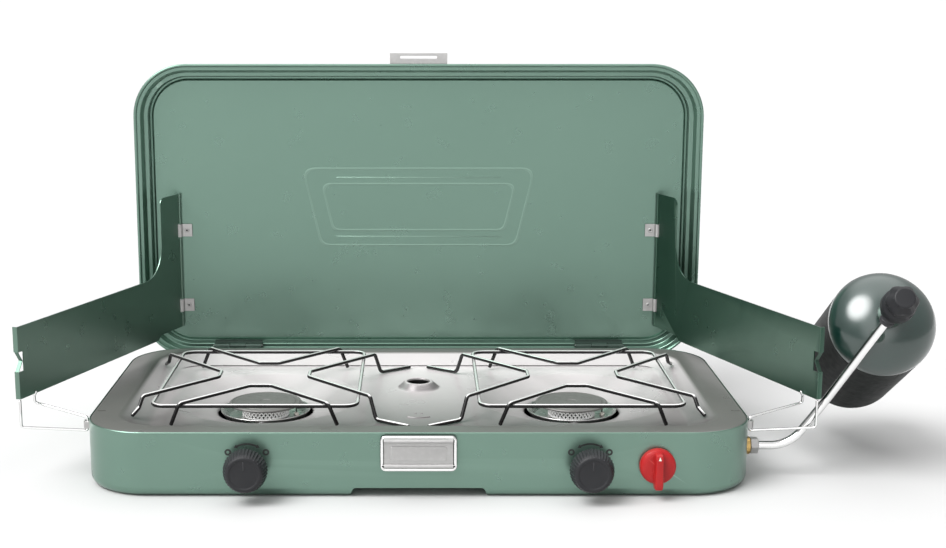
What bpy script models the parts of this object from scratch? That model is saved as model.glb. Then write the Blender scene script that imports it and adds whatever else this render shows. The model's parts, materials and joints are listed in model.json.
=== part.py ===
"""Two-burner camping stove with its lid open, wind guards out and gas cylinder fitted.

Lengths are in millimetres here and are scaled to metres when a mesh is made. The origin is the
centre of the case's flat underside: +X is the operator's right, -Y the front, +Z up.
"""

import math

import bmesh
import bpy
from mathutils import Matrix, Vector

MM = 0.001
GAP = 0.3            # clearance between pieces that rest on or pass through each other
SHEET = 1.2          # steel sheet of the case

# Case
CASE_W = 620.0
CASE_D = 328.0
CASE_H = 61.5
CASE_R = 60.0
CASE_FILLET = 9.0
LEDGE_TOP = 60.0     # the shelf inside the case that carries the tray
LEDGE_WIDTH = 4.0
RECESS_HALF = 64.5   # finger recess under the front and rear edges
RECESS_HEIGHT = 9.0
RECESS_DEPTH = 30.0
SIDE = CASE_W / 2
FRONT = -CASE_D / 2
REAR = CASE_D / 2
CORNER_STEPS = 5

# Tray
TRAY_SHEET = 1.0
TRAY_TOP = 61.3
FLOOR_Z = 50.0
WELL_R = 97.0
WELL_HOLE_R = 48.0
WELL_Z = 35.4
BOSS_Y = 37.0
BOSS_R = 22.0
BOSS_Z = 57.0

# Burners and gas train
BURNER_X = 155.0
CONTROL_X = 156.0
CONTROL_Z = 31.0
IGNITER_X = 217.0
KNOB_R = 20.4        # at the widest part of the grip, half way along
KNOB_DEPTH = 30.5
CAP_R = 36.5
CAP_Z = 43.0
DISH_Z = 31.2          # the bowl's inner floor, which carries the screen
MIX_Z = 22.0
PIPE_Z = 14.6
PIPE_Y = -137.0
PORT_Y = -100.0
PORT_Z = 30.0

# Grates
ROD_R = 1.9
GRATE_X = 97.0
GRATE_Y = 107.0
RING_Z = 70.4
ARM_Z = 73.7
FOOT_Z = 52.4         # legs on the tray's floor
WALL_FOOT_Z = 58.8    # and the outer ones, on its sloping side wall

# Lid, upright
LID_W = 620.0
LID_L = 326.1
LID_RIM_Y = 166.4
LID_BOTTOM = 49.2            # its rear edge hangs behind the case, below the hinge pins
LID_R = 58.0
LID_SHEET = 1.0
BAND_DEPTH = 12.0            # the step inside the rim
PANEL_DEPTH = 18.2
GROOVE_DEPTH = 22.0          # between the step and the panel
PANEL_Y = LID_RIM_Y + PANEL_DEPTH
HINGE_Y = 167.2
HINGE_Z = 62.8
HINGE_X = 202.0
HINGE_HALF = 26.5
KNUCKLE_R = 2.6
BORE_R = 1.5
PIN_R = 1.2
LEAF_LOW = 59.4              # the lid leaf's flat part, on the step inside the rim
LEAF_HIGH = 67.4
POCKET_HALF = 28.0
POCKET_DEPTH = 10.5
POCKET_TOP = 59.6

# Wind guards
GUARD_X = 265.0
GUARD_Y = PANEL_Y - 4.0
GUARD_END = Vector((374.0, -110.0))
GUARD_BOTTOM = 77.5
GUARD_HINGE_BOTTOM = 82.5    # higher near the hinge, to clear the lid's rounded corner
GUARD_ARM_TOP = 147.0
GUARD_TOP = 232.5
GUARD_SHEET = 1.0
GUARD_EDGE_R = 1.6
CLIP_HEIGHT = 14.0
CLIP_Z = (106.5, 191.2)
WINDOW_HALF = 8.2        # half the height of a guard's window round a clip
WINDOW_REACH = 5.0

# Wire stays
WIRE_R = 1.25
STAY_X = 314.0
STAY_Y = -98.0

# Latch
LATCH_HALF = 35.0
LATCH_BOTTOM = 26.0
LATCH_TOP = 60.0
LATCH_PIN = Vector((0.0, -168.6, 31.2))

# Cylinder and regulator; the axis runs from the neck to the cylinder's foot
BOTTLE_AXIS = Vector((0.05, 0.88, -0.472)).normalized()
SHOULDER = Vector((436.0, -92.0, 146.0))
BOTTLE_R = 49.5
BOTTLE_LENGTH = 158.0
BOTTLE_WALL = 1.2
DOME_HEIGHT = 32.0
RELIEF_R = 22.5      # the relief valve's distance from the axis
RELIEF_TURN = 122.0  # and its bearing round it, in degrees
REGULATOR_AT = 64.0  # distance of the regulator's inlet in front of the shoulder
TUBE_R = 4.0
BOSS_END = 22.0      # reach of the regulator's side boss, where the tube starts

MATERIALS = {
    # name: (colour, roughness, metallic)
    "green_enamel": ((0.215, 0.335, 0.265), 0.32, 0.0),
    "tray_steel": ((0.50, 0.50, 0.49), 0.30, 1.0),
    "bright_steel": ((0.70, 0.70, 0.69), 0.22, 1.0),
    "wire_chrome": ((0.62, 0.62, 0.62), 0.15, 1.0),
    "burner_alloy": ((0.42, 0.43, 0.42), 0.45, 0.9),
    "brass": ((0.66, 0.47, 0.20), 0.35, 1.0),
    "dark_plastic": ((0.050, 0.051, 0.055), 0.50, 0.0),
    "red_plastic": ((0.62, 0.045, 0.045), 0.38, 0.0),
    "lead_rubber": ((0.03, 0.03, 0.03), 0.60, 0.0),
    "ceramic": ((0.80, 0.78, 0.72), 0.30, 0.0),
    "bottle_paint": ((0.020, 0.060, 0.050), 0.20, 0.0),
}


def clear_scene():
    for old in list(bpy.data.objects):
        bpy.data.objects.remove(old, do_unlink=True)


def material(name):
    made = bpy.data.materials.get(name)
    if made is None:
        colour, roughness, metallic = MATERIALS[name]
        made = bpy.data.materials.new(name)
        made.use_nodes = True
        shader = made.node_tree.nodes["Principled BSDF"]
        shader.inputs["Base Color"].default_value = (*colour, 1.0)
        shader.inputs["Roughness"].default_value = roughness
        shader.inputs["Metallic"].default_value = metallic
    return made


def add_object(name, bm, slot=None, origin=(0.0, 0.0, 0.0), angle=30.0):
    """Turn a bmesh in millimetres into an object whose own origin is at `origin`."""
    bmesh.ops.recalc_face_normals(bm, faces=bm.faces)
    mesh = bpy.data.meshes.new(name)
    bm.to_mesh(mesh)
    bm.free()
    mesh.transform(Matrix.Scale(MM, 4) @ Matrix.Translation(-Vector(origin)))
    mesh.shade_smooth()
    mesh.set_sharp_from_angle(angle=math.radians(angle))
    obj = bpy.data.objects.new(name, mesh)
    obj.location = Vector(origin) * MM
    bpy.context.collection.objects.link(obj)
    if slot:
        mesh.materials.append(material(slot))
    return obj


def make_cutter(name, bm):
    cutter = add_object(name, bm)
    cutter.hide_render = True
    cutter.display_type = "WIRE"
    return cutter


def combine(obj, other, operation):
    modifier = obj.modifiers.new(operation.lower(), "BOOLEAN")
    modifier.operation = operation
    modifier.solver = "EXACT"
    modifier.object = other


def cut(obj, *cutters):
    for cutter in cutters:
        combine(obj, cutter, "DIFFERENCE")


def join(obj, *others):
    for other in others:
        combine(obj, other, "UNION")


def fill_between(bm, ring_a, ring_b):
    count = len(ring_a)
    for i in range(count):
        j = (i + 1) % count
        bm.faces.new((ring_a[i], ring_a[j], ring_b[j], ring_b[i]))


def loft(rings, capped=True, closed=False):
    """Skin a list of rings of points, each ring with the same number of points."""
    bm = bmesh.new()
    made = [[bm.verts.new(point) for point in ring] for ring in rings]
    for lower, upper in zip(made, made[1:]):
        fill_between(bm, lower, upper)
    if closed:
        fill_between(bm, made[-1], made[0])
    elif capped:
        bm.faces.new(made[0])
        bm.faces.new(made[-1])
    return bm


def rounded_outline(x0, x1, y0, y1, radius, steps=CORNER_STEPS):
    """Points round a rectangle with rounded corners, anticlockwise."""
    corners = ((x1, y1, 0), (x0, y1, 90), (x0, y0, 180), (x1, y0, 270))
    points = []
    for x, y, start in corners:
        centre_x = x - radius if x == x1 else x + radius
        centre_y = y - radius if y == y1 else y + radius
        for step in range(steps + 1):
            turn = math.radians(start + 90.0 * step / steps)
            points.append((centre_x + radius * math.cos(turn), centre_y + radius * math.sin(turn)))
    return points


def frame_along(axis):
    """Two unit vectors across an axis."""
    axis = Vector(axis).normalized()
    helper = Vector((0, 0, 1)) if abs(axis.z) < 0.9 else Vector((1, 0, 0))
    side = axis.cross(helper).normalized()
    return side, axis.cross(side).normalized()


def lathe(profile, start, axis, sides=24, lobe_depth=0.0, lobes_from=6.0):
    """Turn (distance along the axis, radius) points round an axis. A radius of 0 closes an end.

    Every second point lies `lobe_depth` deeper on the rings wider than `lobes_from`, for a grip.
    """
    axis = Vector(axis).normalized()
    start = Vector(start)
    side, up = frame_along(axis)
    bm = bmesh.new()
    rings = []
    for along, radius in profile:
        centre = start + axis * along
        if radius == 0:
            rings.append([bm.verts.new(centre)])
            continue
        ring = []
        for i in range(sides):
            turn = 2 * math.pi * i / sides
            reach = radius - lobe_depth * (i % 2) if radius > lobes_from else radius
            ring.append(bm.verts.new(centre + (side * math.cos(turn) + up * math.sin(turn)) * reach))
        rings.append(ring)
    pairs = list(zip(rings, rings[1:]))
    if len(rings[0]) > 1:
        pairs.append((rings[-1], rings[0]))
    for a, b in pairs:
        if len(a) == 1 and len(b) == 1:
            continue
        if len(a) == 1 or len(b) == 1:
            tip, ring = (a[0], b) if len(a) == 1 else (b[0], a)
            for i in range(sides):
                bm.faces.new((tip, ring[i], ring[(i + 1) % sides]))
        else:
            fill_between(bm, a, b)
    return bm


def rod(start, axis, length, radius, sides=12):
    return lathe([(0, 0), (0, radius), (length, radius), (length, 0)], start, axis, sides)


def tube(start, axis, length, outer, inner, sides=16):
    return lathe([(0, outer), (length, outer), (length, inner), (0, inner)], start, axis, sides)


def rounded_path(points, radius, steps=4):
    """Replace the inner corners of a path of 3-D points with arcs."""
    points = [Vector(p) for p in points]
    path = [points[0]]
    for before, corner, after in zip(points, points[1:], points[2:]):
        into = (corner - before).normalized()
        out = (after - corner).normalized()
        turn = into.angle(out)
        if turn < 0.02:
            path.append(corner)
            continue
        reach = radius * math.tan(turn / 2)
        reach = min(reach, 0.48 * (corner - before).length, 0.48 * (after - corner).length)
        bend = reach / math.tan(turn / 2)
        start = corner - into * reach
        axis = into.cross(out).normalized()
        centre = start + axis.cross(into) * bend
        arm = start - centre
        for step in range(steps + 1):
            path.append(centre + Matrix.Rotation(turn * step / steps, 3, axis) @ arm)
    path.append(points[-1])
    return path


def sweep(path, radius, sides=6, inner=0.0, closed=False):
    """A round rod, or a tube when `inner` is given, along a path of points."""
    count = len(path)
    if closed:
        tangents = [(path[(i + 1) % count] - path[i - 1]).normalized() for i in range(count)]
    else:
        tangents = [(path[min(i + 1, count - 1)] - path[max(i - 1, 0)]).normalized() for i in range(count)]
    side, _ = frame_along(tangents[0])
    rings = {radius: [], inner: []}
    for point, tangent in zip(path, tangents):
        side = (side - tangent * side.dot(tangent)).normalized()
        up = tangent.cross(side)
        for reach, made in rings.items():
            made.append([
                point + (side * math.cos(a) + up * math.sin(a)) * reach
                for a in (2 * math.pi * i / sides for i in range(sides))
            ])
    if inner:
        return loft(rings[radius] + rings[inner][::-1], capped=False, closed=True)
    return loft(rings[radius], capped=not closed, closed=closed)


def box(x0, x1, y0, y1, z0, z1):
    ring = [(x0, y0), (x1, y0), (x1, y1), (x0, y1)]
    return loft([[(x, y, z) for x, y in ring] for z in (z0, z1)])


def extrude(outline, place, low, high):
    """Extrude a 2-D outline between two depths; `place` maps (a, b, depth) to a point."""
    return loft([[place(a, b, depth) for a, b in outline] for depth in (low, high)])


def arc(centre, radius, start, end, steps):
    return [
        (centre[0] + radius * math.cos(math.radians(start + (end - start) * i / steps)),
         centre[1] + radius * math.sin(math.radians(start + (end - start) * i / steps)))
        for i in range(steps + 1)
    ]


def sides_of(name):
    """The mirrored pair of a part: its node name and the sign of its X."""
    return ((name + "_left", -1), (name + "_right", 1))


# ---------------------------------------------------------------- case and tray

def case_ring(inset, z):
    outline = rounded_outline(-SIDE + inset, SIDE - inset, FRONT + inset, REAR - inset, CASE_R - inset)
    return [(x, y, z) for x, y in outline]


def fillet_rings(inset, low, steps=3):
    """Rings that round the bottom edge of a skin lying `inset` inside the case's outside."""
    rings = []
    for step in range(steps + 1):
        turn = math.radians(90.0 * step / steps)
        radius = CASE_FILLET - inset
        rings.append(case_ring(CASE_FILLET - radius * math.sin(turn), low + radius * (1 - math.cos(turn))))
    return rings


def recess_block(name, sign, grow):
    """The shape of the finger recess under the front (-1) or rear (1) edge."""
    half = RECESS_HALF + grow
    height = RECESS_HEIGHT + grow
    slope = 5.0
    outline = [(-half, -5.0), (half, -5.0), (half - slope, height), (slope - half, height)]
    edge = REAR + 2.0
    inner = REAR - RECESS_DEPTH - grow
    return make_cutter(name, extrude(outline, lambda x, z, y: (x, sign * y, z), inner, edge))


def build_case():
    outer = fillet_rings(0.0, 0.0)
    outer += [case_ring(0.0, CASE_H - 0.4), case_ring(0.4, CASE_H)]
    shell = add_object("case_shell", loft(outer), "green_enamel")
    shelf = SHEET + LEDGE_WIDTH
    inner = fillet_rings(SHEET, SHEET)
    inner += [
        case_ring(SHEET, LEDGE_TOP - SHEET), case_ring(shelf, LEDGE_TOP - SHEET),
        case_ring(shelf, LEDGE_TOP), case_ring(SHEET, LEDGE_TOP), case_ring(SHEET, CASE_H + 8.0),
    ]
    hollow = make_cutter("case_hollow", loft(inner))
    for end, sign in (("front", -1), ("rear", 1)):
        cut(shell, recess_block("recess_" + end, sign, 0.0))
        cut(hollow, recess_block("recess_skin_" + end, sign, SHEET))
    cut(shell, hollow)
    for name, sign in sides_of("control_hole"):
        cut(shell, make_cutter(name, rod((sign * CONTROL_X, FRONT - 3, CONTROL_Z), (0, 1, 0), 8, 6.0)))
    cut(shell, make_cutter("igniter_hole", rod((IGNITER_X, FRONT - 3, CONTROL_Z), (0, 1, 0), 8, 5.0)))
    cut(shell, make_cutter("port_hole", rod((SIDE - 5, PORT_Y, PORT_Z), (1, 0, 0), 8, 6.4)))


def tray_ring(bm, x, y0, y1, radius, z):
    return [bm.verts.new((a, b, z)) for a, b in rounded_outline(-x, x, y0, y1, radius)]


def circle(bm, x, y, z, radius, sides=24):
    turns = (2 * math.pi * i / sides for i in range(sides))
    return [bm.verts.new((x + radius * math.cos(t), y + radius * math.sin(t), z)) for t in turns]


def ring_edges(bm, ring):
    return [bm.edges.get((a, b)) or bm.edges.new((a, b)) for a, b in zip(ring, ring[1:] + ring[:1])]


def build_tray():
    """The pan under the burners: a flange, sloping walls, two burner wells and a centre boss."""
    bm = bmesh.new()
    rim = SHEET + GAP
    rings = [
        tray_ring(bm, SIDE - rim, FRONT + rim, REAR - rim, CASE_R - rim, TRAY_TOP),
        tray_ring(bm, 283.0, -141.0, 149.0, 42.0, TRAY_TOP),
        tray_ring(bm, 280.5, -138.5, 146.5, 40.0, TRAY_TOP - 1.2),
        tray_ring(bm, 259.0, -119.0, 129.0, 26.0, FLOOR_Z + 0.9),
        tray_ring(bm, 255.0, -115.0, 125.0, 23.0, FLOOR_Z),
    ]
    for a, b in zip(rings, rings[1:]):
        fill_between(bm, a, b)
    floor = ring_edges(bm, rings[-1])
    for sign in (-1, 1):
        x = sign * BURNER_X
        well = [
            circle(bm, x, 0, FLOOR_Z, WELL_R, 32), circle(bm, x, 0, FLOOR_Z - 0.8, WELL_R - 4, 32),
            circle(bm, x, 0, WELL_Z + 2, WELL_HOLE_R + 6, 32), circle(bm, x, 0, WELL_Z, WELL_HOLE_R, 32),
        ]
        for a, b in zip(well, well[1:]):
            fill_between(bm, a, b)
        floor += ring_edges(bm, well[0])
    boss = [
        circle(bm, 0, BOSS_Y, FLOOR_Z, BOSS_R, 20), circle(bm, 0, BOSS_Y, BOSS_Z - 1, 15.0, 20),
        circle(bm, 0, BOSS_Y, BOSS_Z, 13.0, 20), circle(bm, 0, BOSS_Y, BOSS_Z - 2, 9.5, 20),
    ]
    for a, b in zip(boss, boss[1:]):
        fill_between(bm, a, b)
    floor += ring_edges(bm, boss[0])
    bmesh.ops.triangle_fill(bm, use_beauty=True, use_dissolve=False, edges=floor)
    tray = add_object("cooktop_tray", bm, "tray_steel")
    skin = tray.modifiers.new("sheet", "SOLIDIFY")
    skin.thickness = TRAY_SHEET * MM
    skin.offset = -1.0


# ---------------------------------------------------------------- burners and gas train

def build_burners():
    for name, sign in sides_of("burner"):
        side = name.split("_")[1]
        centre = (sign * BURNER_X, 0.0, 0.0)
        bowl = lathe([
            (16.0, 0), (16.0, 16.0), (20.0, 24.0), (28.0, 38.5), (36.5, 44.6), (38.0, 45.0), (38.0, 44.0),
            (36.9, 43.2), (DISH_Z, 37.0), (DISH_Z, 20.5), (26.0, 19.5), (24.0, 13.0), (24.0, 0),
        ], centre, (0, 0, 1))
        bowl = add_object("burner_bowl_" + side, bowl, "burner_alloy", centre)
        socket = rod((sign * BURNER_X, -14.5, MIX_Z), (0, -1, 0), 29.5, 8.6, 16)
        join(bowl, make_cutter("socket_" + side, socket))
        throat = rod((sign * BURNER_X, -8.0, MIX_Z + 2.0), (0, -1, 0), 40.0, 4.6)
        cut(bowl, make_cutter("throat_" + side, throat))
        screen = tube((sign * BURNER_X, 0, DISH_Z + GAP), (0, 0, 1), CAP_Z - DISH_Z - 2 * GAP, 23.5, 22.3, 24)
        add_object("burner_screen_" + side, screen, "bright_steel", centre)
        cap = lathe([(0, 0), (0, CAP_R - 1), (1.0, CAP_R), (2.2, CAP_R - 0.6), (3.0, CAP_R - 3), (3.0, 0)],
                    (sign * BURNER_X, 0.0, CAP_Z), (0, 0, 1))
        add_object("burner_cap_" + side, cap, "burner_alloy", centre)
        mixer = lathe([
            (0, 7.0), (58.0, 7.0), (66.0, 10.0), (74.0, 10.0), (74.0, 8.8), (66.0, 8.6), (58.0, 5.8),
            (0, 5.8),
        ], (sign * BURNER_X, -44.3, MIX_Z), (0, -1, 0), 16)
        add_object("mixing_tube_" + side, mixer, "bright_steel")


def build_controls():
    """Valve, stem and knob on each side. The stem turns in the valve with the knob."""
    for name, sign in sides_of("control"):
        side = name.split("_")[1]
        x = sign * CONTROL_X
        axis_point = (x, FRONT, CONTROL_Z)
        body = add_object("valve_body_" + side, lathe([
            (3.0, 3.4), (3.0, 8.0), (19.0, 8.0), (19.0, 6.0), (36.0, 6.0), (36.0, 0), (15.0, 0), (15.0, 3.4),
        ], axis_point, (0, 1, 0), 16), "brass")
        block = box(x - 7, x + 7, PIPE_Y - 9, PIPE_Y + 9, PIPE_Z + 4 + GAP, CONTROL_Z)
        join(body, make_cutter("valve_block_" + side, block))
        jet = rod((x - sign * 0.5, FRONT + 33, MIX_Z + 2), (0, 1, 0), 14, 2.4)
        join(body, make_cutter("valve_jet_" + side, jet))
        stem = rod((x, FRONT - 15.0, CONTROL_Z), (0, 1, 0), 29.0, 3.0)
        add_object("valve_stem_" + side, stem, "brass", axis_point)
        knob = lathe([
            (0.8, 3.4), (0.8, 10.0), (5.0, 11.5), (11.0, 19.0), (15.0, KNOB_R), (21.0, KNOB_R - 0.6),
            (27.0, KNOB_R - 2.2), (KNOB_DEPTH, KNOB_R - 4.6), (KNOB_DEPTH, 0), (15.6, 0), (15.6, 3.4),
        ], axis_point, (0, -1, 0), 32, lobe_depth=0.9, lobes_from=18.0)
        add_object("control_knob_" + side, knob, "dark_plastic", axis_point)


def build_gas_pipe():
    path = rounded_path([
        (SIDE - 11.0, PORT_Y, PORT_Z), (SIDE - 28, PORT_Y, PORT_Z), (SIDE - 52, PIPE_Y, PIPE_Z),
        (-CONTROL_X - 20, PIPE_Y, PIPE_Z),
    ], 14.0)
    pipe = add_object("manifold_pipe", sweep(path, 4.0, 10), "bright_steel")
    cut(pipe, make_cutter("pipe_bore", rod((SIDE + 5, PORT_Y, PORT_Z), (-1, 0, 0), 30, 2.8)))
    fitting = lathe([
        (-10.6, 4.7), (-10.6, 6.0), (0.3, 6.0), (0.3, 8.5), (4.0, 8.5), (4.0, 4.7),
    ], (SIDE, PORT_Y, PORT_Z), (1, 0, 0), 16)
    add_object("inlet_fitting", fitting, "brass")


def build_igniter():
    axis_point = (IGNITER_X, FRONT, CONTROL_Z)
    body = lathe([
        (1.6, 2.7), (1.6, 9.0), (30.0, 9.0), (30.0, 6.0), (38.0, 6.0), (38.0, 0), (16.0, 0), (16.0, 2.7),
    ], axis_point, (0, 1, 0), 16)
    add_object("igniter_body", body, "dark_plastic")
    shaft = rod((IGNITER_X, FRONT - 6.0, CONTROL_Z), (0, 1, 0), 21.0, 2.3)
    add_object("igniter_shaft", shaft, "brass", axis_point)
    knob = add_object("igniter_knob", lathe([
        (0.8, 2.7), (0.8, 16.5), (6.0, 16.5), (8.0, 15.2), (9.0, 12.0), (9.0, 0), (6.6, 0), (6.6, 2.7),
    ], axis_point, (0, -1, 0), 28), "red_plastic", axis_point)
    bar = [(-4.0, -18.0), (-2.0, -20.5), (2.0, -20.5), (4.0, -18.0), (4.0, 14.5), (-4.0, 14.5)]
    pointer = extrude(
        bar, lambda a, b, depth: (IGNITER_X + a, FRONT - depth, CONTROL_Z + b), 3.0, 17.0)
    pointer = make_cutter("pointer", pointer)
    cut(pointer, make_cutter("pointer_bore", rod((IGNITER_X, FRONT, CONTROL_Z), (0, -1, 0), 6.6, 2.7)))
    join(knob, pointer)
    for name, sign in sides_of("spark"):
        side = name.split("_")[1]
        x = sign * BURNER_X + 31.0
        electrode = lathe([(20.0, 0), (20.0, 2.6), (34.0, 2.6), (34.0, 0.9), (40.5, 0.9), (40.5, 0)],
                          (x, 0, 0), (0, 0, 1), 10)
        electrode = add_object("spark_electrode_" + side, electrode, "ceramic")
        bowl_lug = rod((x, 0.0, 10.0), (0, 0, 1), 60.0, 2.6 + GAP + 0.2, 10)
        cut(bpy.data.objects["burner_bowl_" + side], make_cutter("electrode_hole_" + side, bowl_lug))
        run_y = -60.0 if sign > 0 else -66.0
        lead = rounded_path([
            (IGNITER_X + sign * 3.0, FRONT + 39.2, CONTROL_Z), (IGNITER_X + sign * 3.0, run_y, 8.0),
            (x + 20.0, run_y, 8.0), (x, run_y + 22, 8.0), (x, 0.0, 8.0), (x, 0.0, 19.4),
        ], 12.0)
        add_object("igniter_lead_" + side, sweep(lead, 1.4, 6), "lead_rubber")


# ---------------------------------------------------------------- grates

def grate_point(sign, x, y, z):
    return (sign * BURNER_X + x, y, z)


def build_grates():
    """A rectangular wire ring with four V-shaped bars welded on top, whose ends turn down as legs."""
    flat = [(45.0, 10.5, ARM_Z)]
    end_half = [(78.5, 109.5, FOOT_Z), (70.0, 110.5, ARM_Z), (10.5, 45.0, ARM_Z)]
    inner_half = [(146.0, 113.5, FOOT_Z), (114.5, 91.0, FOOT_Z), (108.5, 83.5, ARM_Z)] + flat
    outer_half = [(116.5, 100.0, WALL_FOOT_Z), (111.5, 90.0, 64.0), (108.5, 83.5, ARM_Z)] + flat
    for name, sign in sides_of("grate"):
        ring = [Vector(grate_point(sign, x, y, RING_Z))
                for x, y in rounded_outline(-GRATE_X, GRATE_X, -GRATE_Y, GRATE_Y, 12.0, 3)]
        centre = (sign * BURNER_X, 0.0, RING_Z)
        grate = add_object(name, sweep(ring, ROD_R, 8, closed=True), "wire_chrome", centre)
        for end in (-1, 1):
            points = [(x, end * y, z) for x, y, z in end_half]
            points += [(-x, end * y, z) for x, y, z in end_half[::-1]]
            path = rounded_path([grate_point(sign, *p) for p in points], 5.0, 2)
            join(grate, make_cutter(f"{name}_bar_y{end}", sweep(path, ROD_R, 8)))
            half = inner_half if end != sign else outer_half
            points = [(end * x, y, z) for x, y, z in half] + [(end * x, -y, z) for x, y, z in half[::-1]]
            path = rounded_path([grate_point(sign, *p) for p in points], 5.0, 2)
            join(grate, make_cutter(f"{name}_bar_x{end}", sweep(path, ROD_R, 8)))


# ---------------------------------------------------------------- lid and its hinges

def lid_ring(inset, depth):
    outline = rounded_outline(
        -LID_W / 2 + inset, LID_W / 2 - inset, LID_BOTTOM + inset, LID_BOTTOM + LID_L - inset, LID_R - inset)
    return [(x, LID_RIM_Y + depth, z) for x, z in outline]


def build_lid():
    """A stepped pan standing on its rear edge: a hemmed rim, a step, a groove and a flat panel.

    The rim and its wall are cut away round each hinge.
    """
    panel_back = PANEL_DEPTH + LID_SHEET
    groove_back = GROOVE_DEPTH + LID_SHEET
    outside = [(19.6, panel_back), (18.9, panel_back + 0.6), (18.2, groove_back - 0.6), (17.4, groove_back),
               (14.4, groove_back), (13.4, groove_back - 0.8), (13.0, BAND_DEPTH + LID_SHEET + 0.2),
               (9.0, BAND_DEPTH + LID_SHEET), (8.2, BAND_DEPTH + 0.2), (6.4, 2.9), (0.6, 2.9), (0.0, 2.3),
               (0.0, 0.8), (0.8, 0.0)]
    inside = [(2.4, 0.0), (3.2, 0.8), (3.4, 1.6), (6.8, 1.8), (7.4, 2.4), (9.3, BAND_DEPTH - 0.4),
              (9.9, BAND_DEPTH), (13.4, BAND_DEPTH), (14.0, BAND_DEPTH + 0.6), (14.4, GROOVE_DEPTH - 0.8),
              (15.0, GROOVE_DEPTH), (17.0, GROOVE_DEPTH), (17.6, GROOVE_DEPTH - 0.8),
              (18.4, PANEL_DEPTH + 0.6), (19.2, PANEL_DEPTH)]
    lid = add_object("lid_shell", loft([lid_ring(*step) for step in outside + inside]), "green_enamel",
                     (0, HINGE_Y, HINGE_Z))
    for sign in (-1, 1):
        x = sign * HINGE_X
        pocket = box(x - POCKET_HALF, x + POCKET_HALF, LID_RIM_Y - 1, LID_RIM_Y + POCKET_DEPTH,
                     LID_BOTTOM - 1, POCKET_TOP)
        cut(lid, make_cutter(f"hinge_pocket_{sign}", pocket))


def build_strike():
    """The catch plate on the lid's front edge, which stands on top while the lid is open."""
    top = LID_BOTTOM + LID_L
    outline = [(3.3, -6.0), (12.0, -7.7), (12.0, -6.5), (4.5, -5.0), (4.5, 11.5), (3.3, 11.5)]
    strike = extrude(outline, lambda y, z, x: (x, LID_RIM_Y + y, top + z), -31.0, 31.0)
    strike = add_object("lid_strike", strike, "bright_steel")
    cut(strike, make_cutter("strike_slot", box(-20, 20, LID_RIM_Y, LID_RIM_Y + 8, top + 5.5, top + 8.5)))


def build_hinges():
    barrel = (HINGE_Y, HINGE_Z)
    case_face = REAR + GAP
    case_leaf = [(case_face, 42.0), (case_face, HINGE_Z)]
    case_leaf += arc(barrel, KNUCKLE_R, 180, -100, 12)
    case_leaf += arc(barrel, BORE_R, -100, 180, 12)
    case_leaf += [(case_face + 1.4, HINGE_Z - 1.5), (case_face + 1.4, 42.0)]
    flat = LID_RIM_Y + BAND_DEPTH - GAP
    front = flat - (KNUCKLE_R - BORE_R)
    lid_leaf = [(front, HINGE_Z + BORE_R), (front, LEAF_LOW), (flat, LEAF_LOW), (flat, LEAF_HIGH),
                (front, LEAF_HIGH), (front, HINGE_Z + KNUCKLE_R)]
    lid_leaf += arc(barrel, KNUCKLE_R, 90, 330, 12)
    lid_leaf += arc(barrel, BORE_R, 330, 90, 12)
    for name, sign in sides_of("hinge"):
        side = name.split("_")[1]
        x = sign * HINGE_X
        place = lambda y, z, depth, x=x: (x + depth, y, z)
        leaf = add_object("case_hinge_leaf_" + side, extrude(case_leaf, place, -HINGE_HALF, HINGE_HALF),
                          "bright_steel")
        cut(leaf, make_cutter("leaf_gap_" + side, box(x - 9, x + 9, REAR - 1, REAR + 9, 58.5, 68)))
        leaf = add_object("lid_hinge_leaf_" + side, extrude(lid_leaf, place, -HINGE_HALF, HINGE_HALF),
                          "bright_steel")
        for end in (-1, 1):
            low, high = sorted((x + end * 8.6, x + end * 30))
            gap = box(low, high, REAR - 2, HINGE_Y + 3.6, 58, 68)
            cut(leaf, make_cutter(f"knuckle_gap_{side}{end}", gap))
        pin = rod((x - HINGE_HALF - 1, HINGE_Y, HINGE_Z), (1, 0, 0), 2 * HINGE_HALF + 2, PIN_R, 10)
        add_object("hinge_pin_" + side, pin, "wire_chrome")


# ---------------------------------------------------------------- wind guards, clips and stays

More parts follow.
